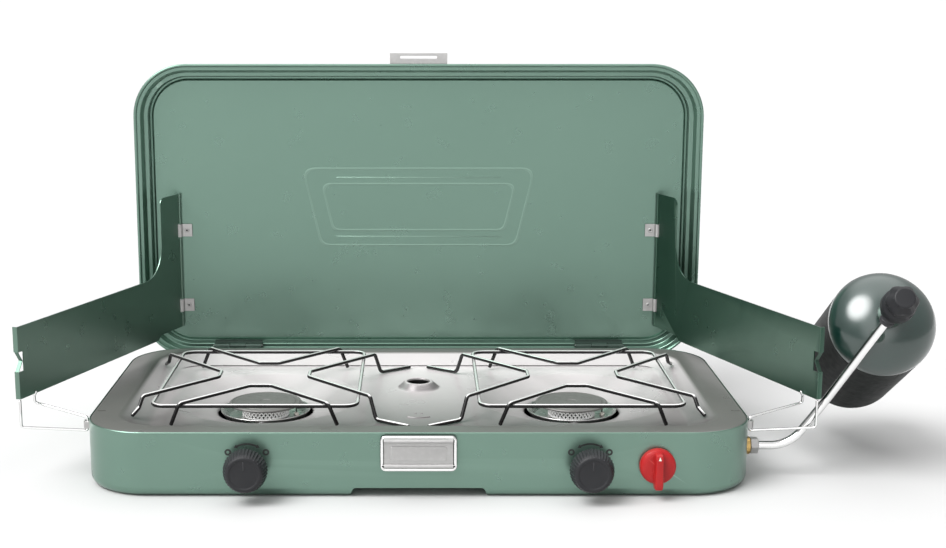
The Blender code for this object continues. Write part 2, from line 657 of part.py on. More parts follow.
def build_guards():
    """Sheet guards that hang on the lid panel, with a rolled edge at the hinge and a bent free end.

    A window beside the rolled edge leaves room for each clip.
    """
    reach = GUARD_END - Vector((GUARD_X, GUARD_Y))
    length = reach.length
    neck = 42.0
    notch_mid = (GUARD_BOTTOM + GUARD_ARM_TOP) / 2 + 1.0
    fillet = 34.0
    outline = [(0.0, GUARD_HINGE_BOTTOM), (48.0, GUARD_HINGE_BOTTOM), (56.0, GUARD_BOTTOM),
               (length, GUARD_BOTTOM), (length, notch_mid - 9.5),
               (length - 8.0, notch_mid - 9.5), (length - 8.0, notch_mid + 9.5), (length, notch_mid + 9.5),
               (length, GUARD_ARM_TOP)]
    outline += arc((neck + fillet, GUARD_ARM_TOP + fillet), fillet, 270, 180, 6)
    outline += arc((neck - 8.0, GUARD_TOP - 8.0), 8.0, 0, 90, 3)
    outline += [(0.0, GUARD_TOP)]
    for z in reversed(CLIP_Z):
        outline += [(0.0, z + WINDOW_HALF), (WINDOW_REACH, z + WINDOW_HALF),
                    (WINDOW_REACH, z - WINDOW_HALF), (0.0, z - WINDOW_HALF)]
    for name, sign in sides_of("wind_guard"):
        hinge = Vector((sign * GUARD_X, GUARD_Y, 0.0))
        along = Vector((sign * reach.x, reach.y, 0.0)).normalized()
        outward = Vector((-along.y, along.x, 0.0)) * sign
        place = lambda a, z, depth: hinge + along * a + outward * depth + Vector((0, 0, z))
        guard = extrude(outline, place, -GUARD_SHEET / 2, GUARD_SHEET / 2)
        guard = add_object(name, guard, "green_enamel", hinge)
        edge = rod(hinge + Vector((0, 0, GUARD_HINGE_BOTTOM)), (0, 0, 1), GUARD_TOP - GUARD_HINGE_BOTTOM,
                   GUARD_EDGE_R, 10)
        join(guard, make_cutter(name + "_edge", edge))
        flanges = (("low", GUARD_BOTTOM, notch_mid - 9.5), ("high", notch_mid + 9.5, GUARD_ARM_TOP))
        for part, low, high in flanges:
            flange = extrude([(length - 1.0, low), (length, low), (length, high), (length - 1.0, high)],
                             place, -GUARD_SHEET / 4, 4.6)
            join(guard, make_cutter(f"{name}_flange_{part}", flange))


def build_clips():
    """Four clips riveted to the lid panel. Each curls round a guard's rolled edge, in its window."""
    outer = 3.0
    inner = 2.0
    back = GUARD_Y + outer
    outline = [(13.0, back), (0.0, back)] + arc((0.0, GUARD_Y), outer, 100, 320, 12)
    outline += arc((0.0, GUARD_Y), inner, 320, 100, 12) + [(0.0, GUARD_Y + inner), (13.0, GUARD_Y + inner)]
    for level, z in zip(("lower", "upper"), CLIP_Z):
        for name, sign in sides_of("guard_clip_" + level):
            place = lambda a, y, depth, s=sign: (-s * (a - GUARD_X), y, depth)
            clip = extrude(outline, place, z - CLIP_HEIGHT / 2, z + CLIP_HEIGHT / 2)
            clip = add_object(name, clip, "bright_steel")
            rivet = rod((sign * (GUARD_X - 7.2), back - 0.5, z), (0, -1, 0), 1.5, 2.0, 10)
            join(clip, make_cutter(name + "_rivet", rivet))


def build_stays():
    """Bent wire loops that prop the guards. The closed end turns in an eye on the case's side."""
    for name, sign in sides_of("guard_stay"):
        points = [(374.5, -108.5, 76.8), (374.5, -108.5, 50.0), (STAY_X, STAY_Y, 44.0),
                  (STAY_X, STAY_Y, 57.0), (367.0, -84.0, 67.5), (367.0, -89.0, 76.6)]
        path = rounded_path([(sign * x, y, z) for x, y, z in points], 2.6, 3)
        origin = (sign * STAY_X, STAY_Y, 50.0)
        add_object(name, sweep(path, WIRE_R), "wire_chrome", origin)
    for name, sign in sides_of("stay_eye"):
        low, high = sorted((sign * (SIDE + GAP), sign * (STAY_X + 3.2)))
        eye = add_object(name, box(low, high, STAY_Y - 5, STAY_Y + 5, 47.0, 54.0), "bright_steel")
        bore = rod((sign * STAY_X, STAY_Y, 40.0), (0, 0, 1), 24.0, WIRE_R + GAP + 0.1)
        cut(eye, make_cutter(name + "_bore", bore))


# ---------------------------------------------------------------- latch

def build_latch():
    face = FRONT - GAP
    depth = 6.7
    frame = box(-LATCH_HALF, LATCH_HALF, face - depth, face, LATCH_BOTTOM, LATCH_TOP)
    frame = add_object("latch_frame", frame, "bright_steel")
    window = box(-LATCH_HALF + 3.4, LATCH_HALF - 3.4, face - depth - 5, face + 5, LATCH_BOTTOM + 1.6,
                 LATCH_TOP - 1.6)
    cut(frame, make_cutter("latch_window", window))
    half = LATCH_HALF - 1.4
    pin_hole = rod((-half, LATCH_PIN.y, LATCH_PIN.z), (1, 0, 0), 2 * half, BORE_R)
    cut(frame, make_cutter("latch_pin_hole", pin_hole))
    half -= GAP
    pin = rod((-half, LATCH_PIN.y, LATCH_PIN.z), (1, 0, 0), 2 * half, PIN_R, 10)
    add_object("latch_pin", pin, "wire_chrome")
    centre = (LATCH_PIN.y, LATCH_PIN.z)
    top = LATCH_TOP - 2.4
    outline = [(-168.0, LATCH_PIN.z + 1.6), (-168.0, top), (-172.0, top), (-174.0, top - 1.6),
               (-174.0, top - 3.0), (-171.6, top - 3.0), (-169.4, top - 4.6), (-169.4, LATCH_PIN.z + 2.0)]
    outline += arc(centre, 2.6, 112, 430, 14) + arc(centre, BORE_R, 70, -248, 14)[1:]
    half = LATCH_HALF - 3.4 - GAP
    lever = extrude(outline, lambda y, z, x: (x, y, z), -half, half)
    add_object("latch_lever", lever, "bright_steel", LATCH_PIN)


# ---------------------------------------------------------------- regulator and gas cylinder

def on_bottle(distance):
    """A point on the cylinder's axis, `distance` towards its foot from the shoulder."""
    return SHOULDER + BOTTLE_AXIS * distance


def build_regulator():
    inlet = on_bottle(-REGULATOR_AT)
    bend = Vector((352.0, PORT_Y, PORT_Z))
    knee = Vector((384.0, -103.0, 74.5))
    direction = (inlet - knee).normalized()
    tip = inlet - direction * (BOSS_END + GAP)
    path = rounded_path([(SIDE - 4.0, PORT_Y, PORT_Z), bend, knee, tip], 34.0, 5)
    port = (SIDE + 4.0, PORT_Y, PORT_Z)
    add_object("regulator_tube", sweep(path, TUBE_R, 10, inner=2.8), "wire_chrome", port)
    nut = tube((SIDE + 4.4, PORT_Y, PORT_Z), (1, 0, 0), 8.0, 8.2, TUBE_R + 1.0, 6)
    add_object("inlet_nut", nut, "bright_steel", port)
    towards_neck = -BOTTLE_AXIS
    body = add_object("regulator_body", lathe([
        (43.0, 0), (43.0, 11.5), (54.0, 11.5), (57.0, 15.5), (66.0, 15.5), (70.0, 13.0), (72.0, 13.0),
        (72.0, 0),
    ], SHOULDER, towards_neck, 20), "dark_plastic", port)
    boss = rod(inlet, -direction, BOSS_END, 6.4, 12)
    join(body, make_cutter("regulator_boss", boss))
    cut(body, make_cutter("regulator_bore", rod(on_bottle(-38.0), towards_neck, 14.0, 7.8, 16)))
    cap = lathe([(72.0 + GAP, 0), (72.0 + GAP, 13.4), (84.0, 13.0), (87.0, 10.5), (87.0, 0)],
                SHOULDER, towards_neck, 24, lobe_depth=1.4)
    add_object("regulator_cap", cap, "dark_plastic", port)


def dome(radius, height, neck, steps=6):
    """Points (distance from the shoulder, radius) down an elliptical dome to the neck."""
    points = []
    last = math.acos(neck / radius)
    for step in range(steps + 1):
        turn = last * step / steps
        points.append((-height * math.sin(turn), radius * math.cos(turn)))
    return points


def build_bottle():
    """A drawn steel cylinder with a domed top, on its regulator, and the pieces that turn with it."""
    neck = 9.0
    outer = dome(BOTTLE_R, DOME_HEIGHT, neck)
    inner = dome(BOTTLE_R - BOTTLE_WALL, DOME_HEIGHT - BOTTLE_WALL, neck - 2.0)
    foot = BOTTLE_LENGTH
    profile = outer[::-1] + [(foot - 12, BOTTLE_R), (foot - 4, BOTTLE_R - 3), (foot - 1, BOTTLE_R - 9),
                             (foot - 5, BOTTLE_R - 17), (foot - 9, 0)]
    profile += [(foot - 9 - BOTTLE_WALL, 0), (foot - 6.4, BOTTLE_R - 17.4), (foot - 3.4, BOTTLE_R - 10.4),
                (foot - 12, BOTTLE_R - BOTTLE_WALL)] + inner
    add_object("gas_cylinder", lathe(profile, SHOULDER, BOTTLE_AXIS, 28), "bottle_paint", SHOULDER)
    towards_neck = -BOTTLE_AXIS
    valve = lathe([(32.2, 5.0), (32.2, 12.0), (35.5, 12.0), (37.0, 7.2), (50.0, 7.2), (50.0, 5.0)],
                  SHOULDER, towards_neck, 16)
    add_object("cylinder_valve", valve, "bright_steel", SHOULDER)
    side, up = frame_along(BOTTLE_AXIS)
    turn = math.radians(RELIEF_TURN)
    lean = side * math.cos(turn) + up * math.sin(turn)
    height = DOME_HEIGHT * math.sqrt(1 - (RELIEF_R / BOTTLE_R) ** 2)
    seat = SHOULDER + towards_neck * height + lean * RELIEF_R
    normal = (towards_neck * height / DOME_HEIGHT ** 2 + lean * RELIEF_R / BOTTLE_R ** 2).normalized()
    relief = lathe([(0.4, 0), (0.4, 6.6), (1.6, 6.6), (1.8, 4.6), (3.0, 4.2), (3.0, 0)], seat, normal, 16)
    add_object("relief_valve", relief, "bright_steel", SHOULDER)


def main():
    clear_scene()
    build_case()
    build_tray()
    build_burners()
    build_controls()
    build_gas_pipe()
    build_igniter()
    build_grates()
    build_lid()
    build_strike()
    build_hinges()
    build_guards()
    build_clips()
    build_stays()
    build_latch()
    build_regulator()
    build_bottle()


main()
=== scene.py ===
"""Looks of the two-burner camping stove: detailed shells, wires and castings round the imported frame.

Lengths are in millimetres in the shapes and are scaled to metres when a piece is made. Places come
from the frame's own boxes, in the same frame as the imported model: +X right, -Y front, +Z up.
"""

import json
import math

import bmesh
import bpy
from mathutils import Matrix, Vector


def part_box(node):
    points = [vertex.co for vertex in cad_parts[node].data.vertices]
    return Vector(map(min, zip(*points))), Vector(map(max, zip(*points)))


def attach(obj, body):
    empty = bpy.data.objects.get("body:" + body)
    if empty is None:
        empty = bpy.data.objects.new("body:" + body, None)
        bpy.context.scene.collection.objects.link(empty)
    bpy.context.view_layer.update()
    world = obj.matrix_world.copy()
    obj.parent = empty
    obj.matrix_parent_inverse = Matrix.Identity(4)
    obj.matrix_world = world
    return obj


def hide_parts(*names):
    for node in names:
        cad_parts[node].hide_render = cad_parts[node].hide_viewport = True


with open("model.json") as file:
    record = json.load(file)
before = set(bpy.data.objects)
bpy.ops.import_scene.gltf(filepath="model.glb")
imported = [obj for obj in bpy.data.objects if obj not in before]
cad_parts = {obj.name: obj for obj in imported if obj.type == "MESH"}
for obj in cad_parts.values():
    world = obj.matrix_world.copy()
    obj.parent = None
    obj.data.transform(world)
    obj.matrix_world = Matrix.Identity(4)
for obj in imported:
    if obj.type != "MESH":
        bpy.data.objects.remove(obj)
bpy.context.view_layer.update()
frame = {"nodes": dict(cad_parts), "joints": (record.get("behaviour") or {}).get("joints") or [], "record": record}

MM = 0.001
SIDES = (("left", -1), ("right", 1))
JOINTS = {joint["name"]: joint for joint in frame["joints"]}


def box_mm(node):
    low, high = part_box(node)
    return low / MM, high / MM


def joint_point(name):
    """A point on a joint's axis, in millimetres."""
    return Vector(JOINTS[name]["pos_m"]) / MM


def joint_axis(name):
    return Vector(JOINTS[name]["axis"]).normalized()


# ---------------------------------------------------------------- materials

class Graph:
    """A small wrapper for building one procedural material."""

    def __init__(self, name, colour, roughness, metallic=0.0, coat=0.0, coat_roughness=0.1):
        self.material = bpy.data.materials.new(name)
        self.material.use_nodes = True
        self.tree = self.material.node_tree
        self.shader = self.tree.nodes["Principled BSDF"]
        self.colour = colour
        self.set("Base Color", (*colour, 1.0))
        self.set("Roughness", roughness)
        self.set("Metallic", metallic)
        self.set("Coat Weight", coat)
        self.set("Coat Roughness", coat_roughness)
        self.coordinates = self.tree.nodes.new("ShaderNodeTexCoord")
        self.height = None

    def set(self, socket, value):
        self.shader.inputs[socket].default_value = value

    def node(self, kind, **settings):
        made = self.tree.nodes.new(kind)
        for key, value in settings.items():
            setattr(made, key, value)
        return made

    def link(self, source, target):
        self.tree.links.new(source, target)

    def noise(self, scale, detail=3.0, roughness=0.5, stretch=(1.0, 1.0, 1.0)):
        mapping = self.node("ShaderNodeMapping")
        mapping.inputs["Scale"].default_value = stretch
        self.link(self.coordinates.outputs["Object"], mapping.inputs["Vector"])
        texture = self.node("ShaderNodeTexNoise")
        texture.inputs["Scale"].default_value = scale
        texture.inputs["Detail"].default_value = detail
        texture.inputs["Roughness"].default_value = roughness
        self.link(mapping.outputs["Vector"], texture.inputs["Vector"])
        return texture.outputs["Fac"]

    def cells(self, scale):
        texture = self.node("ShaderNodeTexVoronoi")
        texture.inputs["Scale"].default_value = scale
        self.link(self.coordinates.outputs["Object"], texture.inputs["Vector"])
        return texture.outputs["Distance"]

    def remap(self, value, low, high, from_low=0.3, from_high=0.7):
        made = self.node("ShaderNodeMapRange")
        made.inputs["From Min"].default_value = from_low
        made.inputs["From Max"].default_value = from_high
        made.inputs["To Min"].default_value = low
        made.inputs["To Max"].default_value = high
        self.link(value, made.inputs["Value"])
        return made.outputs["Result"]

    def vary_roughness(self, value, low, high):
        self.link(self.remap(value, low, high), self.shader.inputs["Roughness"])

    def mix(self, factor, other):
        """Blend the colour so far with `other`, where `factor` runs from 0 to 1."""
        made = self.node("ShaderNodeMix", data_type="RGBA")
        made.inputs["A"].default_value = (*self.colour, 1.0)
        made.inputs["B"].default_value = (*other, 1.0)
        socket = self.shader.inputs["Base Color"]
        if socket.is_linked:
            self.link(socket.links[0].from_socket, made.inputs["A"])
        self.link(factor, made.inputs["Factor"])
        self.link(made.outputs["Result"], socket)

    def bump(self, value, strength, distance):
        """Add a layer of relief; `distance` is its height in metres."""
        made = self.node("ShaderNodeBump")
        made.inputs["Strength"].default_value = strength
        made.inputs["Distance"].default_value = distance
        self.link(value, made.inputs["Height"])
        if self.height:
            self.link(self.height, made.inputs["Normal"])
        self.height = made.outputs["Normal"]
        self.link(self.height, self.shader.inputs["Normal"])

    def facing(self, axis="Z"):
        """One part of the surface's own normal; for Z, 1 on a level face and 0 on an upright one."""
        split = self.node("ShaderNodeSeparateXYZ")
        self.link(self.node("ShaderNodeNewGeometry").outputs["Normal"], split.inputs["Vector"])
        return split.outputs[axis]

    def worn_edges(self, colour, amount):
        """Lighter paint or bare metal along convex edges."""
        geometry = self.node("ShaderNodeNewGeometry")
        edge = self.remap(geometry.outputs["Pointiness"], 0.0, amount, 0.53, 0.62)
        self.mix(edge, colour)


def tray_steel():
    """Pressed steel, satin in the pan; painted shade darkens it towards the front, on the walls, on upright faces
    and on the flange.
    """
    made = Graph("tray_steel", (0.80, 0.75, 0.76), 0.34, 0.30)
    streaks = made.noise(3.0, 6.0, 0.65, stretch=(2.0, 130.0, 130.0))
    made.mix(made.remap(streaks, 0.0, 0.3), (0.84, 0.79, 0.80))
    split = made.node("ShaderNodeSeparateXYZ")
    made.link(made.coordinates.outputs["Object"], split.inputs["Vector"])
    # Painted shade: the pan turns darker towards the front, by its place along Y.
    made.mix(made.remap(split.outputs["Y"], 1.0, 0.0, -0.120, 0.120), (0.13, 0.125, 0.122))
    # Painted shade: the sloping walls darker than the level pan, by how far each face turns from level.
    walls = made.remap(made.facing(), 0.85, 0.0, 0.70, 0.99)
    made.mix(walls, (0.13, 0.125, 0.125))
    # Painted shade: near black on upright faces, darkening the hole in the boss and the wells.
    made.mix(made.remap(made.facing(), 1.0, 0.0, 0.15, 0.35), (0.006, 0.006, 0.006))
    # Painted reflection: the flange, a thin band just under the tray's top, darker grey.
    flange = made.remap(split.outputs["Z"], 0.0, 1.0, 0.0590, 0.0606)
    made.mix(flange, (0.140, 0.140, 0.132))
    made.vary_roughness(made.noise(24.0, 2.0), 0.27, 0.33)
    made.bump(made.noise(900.0, 3.0), 0.03, 0.0001)
    return made.material


def bright_steel():
    """Zinc-plated sheet with a faint spangle."""
    made = Graph("bright_steel", (0.46, 0.455, 0.45), 0.34, 0.85)
    made.mix(made.remap(made.cells(240.0), 0.0, 0.4, 0.1, 0.7), (0.39, 0.385, 0.38))
    made.vary_roughness(made.noise(180.0, 4.0), 0.28, 0.42)
    made.bump(made.noise(500.0, 4.0), 0.06, 0.0002)
    return made.material


def wire_chrome():
    """Nickel-plated rod, dark, with a painted highlight on its upper faces; the dark sides and undersides are
    painted shade.
    """
    made = Graph("wire_chrome", (0.018, 0.018, 0.018), 0.12, 0.6)
    made.mix(made.remap(made.noise(40.0, 5.0, 0.65), 0.0, 0.5, 0.5, 0.8), (0.030, 0.029, 0.028))
    # Painted highlight: near white where the face turns up.
    made.mix(made.remap(made.facing(), 0.0, 1.0, 0.62, 0.90), (0.95, 0.94, 0.93))
    made.vary_roughness(made.noise(90.0, 4.0), 0.05, 0.12)
    made.bump(made.noise(300.0, 3.0), 0.05, 0.0002)
    return made.material


def tube_chrome():
    """Chrome, dark, with a painted highlight on the faces turned to the front."""
    made = Graph("tube_chrome", (0.20, 0.20, 0.20), 0.08, 1.0)
    made.mix(made.remap(made.noise(60.0, 4.0), 0.0, 0.4, 0.5, 0.8), (0.16, 0.16, 0.157))
    # Painted highlight: bright where the face turns to the front (-Y).
    made.mix(made.remap(made.facing("Y"), 1.0, 0.0, -0.80, -0.45), (0.90, 0.90, 0.895))
    made.vary_roughness(made.noise(120.0, 3.0), 0.06, 0.13)
    made.bump(made.noise(300.0, 3.0), 0.03, 0.0002)
    return made.material


def finish(name, colour, roughness, patches, metallic=0.0, gloss=None, grain=None, worn=None,
           coat=(0.0, 0.1), sockets=()):
    """One plain finish. Patches of another colour are (scale, detail, coarseness, amount, colour), gloss
    is (scale, detail, low, high), and grain is (scale, detail, strength, height in metres)."""
    made = Graph(name, colour, roughness, metallic, coat=coat[0], coat_roughness=coat[1])
    for socket, value in sockets:
        made.set(socket, value)
    scale, detail, coarseness, amount, other = patches
    made.mix(made.remap(made.noise(scale, detail, coarseness), 0.0, amount), other)
    if worn:
        made.worn_edges(*worn)
    if gloss:
        scale, detail, low, high = gloss
        made.vary_roughness(made.noise(scale, detail), low, high)
    if grain:
        scale, detail, strength, height = grain
        made.bump(made.noise(scale, detail), strength, height)
    return made.material


ENAMEL = dict(roughness=0.30, metallic=0.85, coat=(0.15, 0.18), gloss=(50.0, 3.0, 0.27, 0.32),
              grain=(520.0, 2.0, 0.008, 0.0002), worn=((0.42, 0.58, 0.49), 0.3))
PLAIN_FINISHES = {
    # Glossy green paint with a metallic undertone; the darker copy of it on the guards is painted shade
    "green_enamel": dict(
        colour=(0.160, 0.257, 0.209), patches=(5.0, 2.0, 0.5, 1.0, (0.168, 0.268, 0.218)), **ENAMEL),
    "shaded_guard_enamel": dict(
        colour=(0.024, 0.070, 0.046), patches=(5.0, 2.0, 0.5, 1.0, (0.026, 0.075, 0.049)), **ENAMEL),
    "burner_alloy": dict(
        colour=(0.20, 0.198, 0.190), roughness=0.46, metallic=0.55, gloss=(240.0, 4.0, 0.40, 0.54),
        patches=(70.0, 6.0, 0.7, 0.6, (0.15, 0.148, 0.142)), grain=(900.0, 3.0, 0.30, 0.0002)),
    "bowl_steel": dict(
        colour=(0.60, 0.60, 0.59), roughness=0.30, metallic=0.9, gloss=(160.0, 3.0, 0.24, 0.36),
        patches=(60.0, 4.0, 0.5, 0.6, (0.46, 0.455, 0.44)), grain=(400.0, 3.0, 0.05, 0.0002)),
    # Dark green steel; on the hinge leaves this dark stands for the shade in the pockets under the lid's rim:
    # painted shade.
    "hinge_steel": dict(
        colour=(0.045, 0.070, 0.058), roughness=0.36, metallic=0.6, gloss=(200.0, 3.0, 0.30, 0.42),
        patches=(120.0, 4.0, 0.5, 0.5, (0.030, 0.048, 0.040)), grain=(600.0, 3.0, 0.06, 0.0002)),
    # Pure white, lighter than any steel: painted light that keeps the screen bright in the shade under the cap.
    "screen_steel": dict(
        colour=(1.0, 1.0, 1.0), roughness=0.34, gloss=(300.0, 3.0, 0.28, 0.42),
        patches=(120.0, 4.0, 0.5, 0.5, (0.96, 0.96, 0.95)), grain=(700.0, 2.0, 0.1, 0.0002)),
    "brass": dict(
        colour=(0.62, 0.43, 0.17), roughness=0.32, metallic=1.0, gloss=(200.0, 4.0, 0.25, 0.42),
        patches=(60.0, 5.0, 0.5, 0.6, (0.40, 0.26, 0.10)), grain=(600.0, 3.0, 0.06, 0.0002)),
    "dark_plastic": dict(
        colour=(0.012, 0.0125, 0.0145), roughness=0.44, gloss=(160.0, 4.0, 0.40, 0.56),
        patches=(50.0, 4.0, 0.5, 1.0, (0.016, 0.0165, 0.0185)), grain=(1500.0, 3.0, 0.12, 0.0002),
        worn=((0.06, 0.06, 0.065), 0.5), sockets=(("Specular IOR Level", 0.3),)),
    "red_plastic": dict(
        colour=(0.32, 0.008, 0.010), roughness=0.40, gloss=(200.0, 4.0, 0.30, 0.44), coat=(0.1, 0.3),
        patches=(60.0, 4.0, 0.5, 1.0, (0.36, 0.012, 0.012)), grain=(1300.0, 3.0, 0.10, 0.0002),
        worn=((0.72, 0.14, 0.12), 0.5), sockets=(("Specular IOR Level", 0.25),)),
    "lead_rubber": dict(
        colour=(0.028, 0.028, 0.028), roughness=0.58,
        patches=(90.0, 4.0, 0.5, 1.0, (0.045, 0.044, 0.043)), grain=(900.0, 3.0, 0.15, 0.0002)),
    "ceramic_white": dict(
        colour=(0.80, 0.78, 0.71), roughness=0.22, coat=(0.4, 0.1),
        patches=(200.0, 4.0, 0.5, 0.5, (0.66, 0.62, 0.54)), grain=(800.0, 2.0, 0.08, 0.0002)),
    "bottle_paint": dict(
        colour=(0.002, 0.020, 0.015), roughness=0.34, metallic=0.2, gloss=(120.0, 4.0, 0.32, 0.38),
        patches=(18.0, 4.0, 0.5, 1.0, (0.003, 0.025, 0.019)), grain=(260.0, 3.0, 0.03, 0.0004),
        worn=((0.06, 0.12, 0.10), 0.4), coat=(1.0, 0.16), sockets=(("Coat IOR", 1.7),)),
    "bottle_wrap": dict(
        colour=(0.008, 0.0095, 0.009), roughness=0.5, gloss=(150.0, 4.0, 0.40, 0.50),
        patches=(30.0, 5.0, 0.5, 1.0, (0.010, 0.0115, 0.011)), grain=(600.0, 3.0, 0.08, 0.0002),
        sockets=(("Specular IOR Level", 0.08),)),
    "mark_ink": dict(
        colour=(0.010, 0.012, 0.011), roughness=0.45, gloss=(500.0, 3.0, 0.38, 0.55),
        patches=(800.0, 3.0, 0.5, 0.6, (0.030, 0.034, 0.032))),
}
MATERIALS = {make.__name__: make() for make in (tray_steel, bright_steel, wire_chrome, tube_chrome)}
MATERIALS |= {name: finish(name, **made) for name, made in PLAIN_FINISHES.items()}


# ---------------------------------------------------------------- shape tools

def finish_mesh(name, bm, angle):
    bmesh.ops.recalc_face_normals(bm, faces=bm.faces)
    mesh = bpy.data.meshes.new(name)
    bm.to_mesh(mesh)
    bm.free()
    mesh.transform(Matrix.Scale(MM, 4))
    mesh.shade_smooth()
    mesh.set_sharp_from_angle(angle=math.radians(angle))
    obj = bpy.data.objects.new(name, mesh)
    bpy.context.scene.collection.objects.link(obj)
    return obj


def carve(obj, tool, operation="DIFFERENCE", angle=30.0):
    """Apply a Boolean for good. Its tool is a mesh in millimetres or an object, and is removed."""
    if not isinstance(tool, bpy.types.Object):
        tool = finish_mesh("tool", tool, angle)
    modifier = obj.modifiers.new("carve", "BOOLEAN")
    modifier.operation = operation
    modifier.object = tool
    bpy.context.view_layer.update()
    carved = obj.evaluated_get(bpy.context.evaluated_depsgraph_get())
    mesh = bpy.data.meshes.new_from_object(carved)
    obj.modifiers.clear()
    obj.data = mesh
    mesh.shade_smooth()
    mesh.set_sharp_from_angle(angle=math.radians(angle))
    bpy.data.objects.remove(tool)
    return obj


def piece(name, shape, finish, body, nodes=(), bevel=0.0, angle=30.0, weighted=False):
    """Make a visible piece of a mesh in millimetres, or take an object that is made already."""
    obj = shape if isinstance(shape, bpy.types.Object) else finish_mesh(name, shape, angle)
    obj.name = name
    obj.data.materials.clear()
    obj.data.materials.append(MATERIALS[finish])
    if bevel:
        modifier = obj.modifiers.new("edges", "BEVEL")
        modifier.width = bevel * MM
        modifier.segments = 2
        modifier.limit_method = "ANGLE"
        modifier.angle_limit = math.radians(angle)
        modifier.harden_normals = True
    if weighted:
        modifier = obj.modifiers.new("normals", "WEIGHTED_NORMAL")
        modifier.keep_sharp = True
    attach(obj, body)
    if nodes:
        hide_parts(*nodes)
    return obj


def skin(bm, a, b):
    count = len(a)
    return [bm.faces.new((a[i], a[(i + 1) % count], b[(i + 1) % count], b[i])) for i in range(count)]


def loft(rings, closed=False, bm=None):
    bm = bm or bmesh.new()
    made = [[bm.verts.new(point) for point in ring] for ring in rings]
    for a, b in zip(made, made[1:]):
        skin(bm, a, b)
    if closed:
        skin(bm, made[-1], made[0])
    else:
        bm.faces.new(made[0])
        bm.faces.new(made[-1])
    return bm


def arc(centre, radius, start, end, steps):
    turns = (math.radians(start + (end - start) * i / steps) for i in range(steps + 1))
    return [(centre[0] + radius * math.cos(t), centre[1] + radius * math.sin(t)) for t in turns]


def outline(x0, x1, y0, y1, radius, steps=14):
    """A rectangle with rounded corners, anticlockwise."""
    points = []
    for x, y, start in ((x1, y1, 0), (x0, y1, 90), (x0, y0, 180), (x1, y0, 270)):
        centre = (x - radius if x == x1 else x + radius, y - radius if y == y1 else y + radius)
        points += arc(centre, radius, start, start + 90, steps)
    return points


def across(axis):
    axis = Vector(axis).normalized()
    helper = Vector((0, 0, 1)) if abs(axis.z) < 0.9 else Vector((1, 0, 0))
    side = axis.cross(helper).normalized()
    return side, axis.cross(side).normalized()


def lathe(profile, start, axis, sides=48, reach=None, bm=None):
    """Turn (distance along the axis, radius) points; `reach(turn, radius)` may shape the rings."""
    axis = Vector(axis).normalized()
    side, up = across(axis)
    bm = bm or bmesh.new()
    rings = []
    for along, radius in profile:
        centre = Vector(start) + axis * along
        if radius == 0:
            rings.append([bm.verts.new(centre)])
            continue
        ring = []
        for i in range(sides):
            turn = 2 * math.pi * i / sides
            width = reach(turn, radius) if reach else radius
            ring.append(bm.verts.new(centre + (side * math.cos(turn) + up * math.sin(turn)) * width))
        rings.append(ring)
    pairs = list(zip(rings, rings[1:]))
    if len(rings[0]) > 1:
        pairs.append((rings[-1], rings[0]))
    for a, b in pairs:
        if len(a) > 1 and len(b) > 1:
            skin(bm, a, b)
        elif len(a) > 1 or len(b) > 1:
            tip, ring = (a[0], b) if len(a) == 1 else (b[0], a)
            for i in range(sides):
                bm.faces.new((tip, ring[i], ring[(i + 1) % sides]))
    return bm


def rounded(profile, radius, steps=4, ends=True):
    """Round the corners of a lathe profile or an outline of 2-D points."""
    count = len(profile)
    made = []
    for i, corner in enumerate(profile):
        if ends and i in (0, count - 1):
            made.append(corner)
            continue
        here = Vector(corner)
        into = here - Vector(profile[i - 1])
        out = Vector(profile[(i + 1) % count]) - here
        turn = into.angle(out) if into.length > 1e-6 and out.length > 1e-6 else 0.0
        if turn < 0.15:
            made.append(corner)
            continue
        cut = min(radius * math.tan(turn / 2), 0.45 * into.length, 0.45 * out.length)
        first, last = here - into.normalized() * cut, here + out.normalized() * cut
        for step in range(steps + 1):
            t = step / steps
            made.append(tuple(first * (1 - t) ** 2 + here * 2 * t * (1 - t) + last * t ** 2))
    return made


def rounded_path(points, radius, steps=8):
    points = [Vector(p) for p in points]
    path = [points[0]]
    for before, corner, after in zip(points, points[1:], points[2:]):
        into, out = (corner - before).normalized(), (after - corner).normalized()
        turn = into.angle(out)
        if turn < 0.02:
            path.append(corner)
            continue
        shorter = min((corner - before).length, (after - corner).length)
        cut = min(radius * math.tan(turn / 2), 0.48 * shorter)
        bend = cut / math.tan(turn / 2)
        start = corner - into * cut
        axis = into.cross(out).normalized()
        centre = start + axis.cross(into) * bend
        for step in range(steps + 1):
            path.append(centre + Matrix.Rotation(turn * step / steps, 3, axis) @ (start - centre))
    path.append(points[-1])
    return path


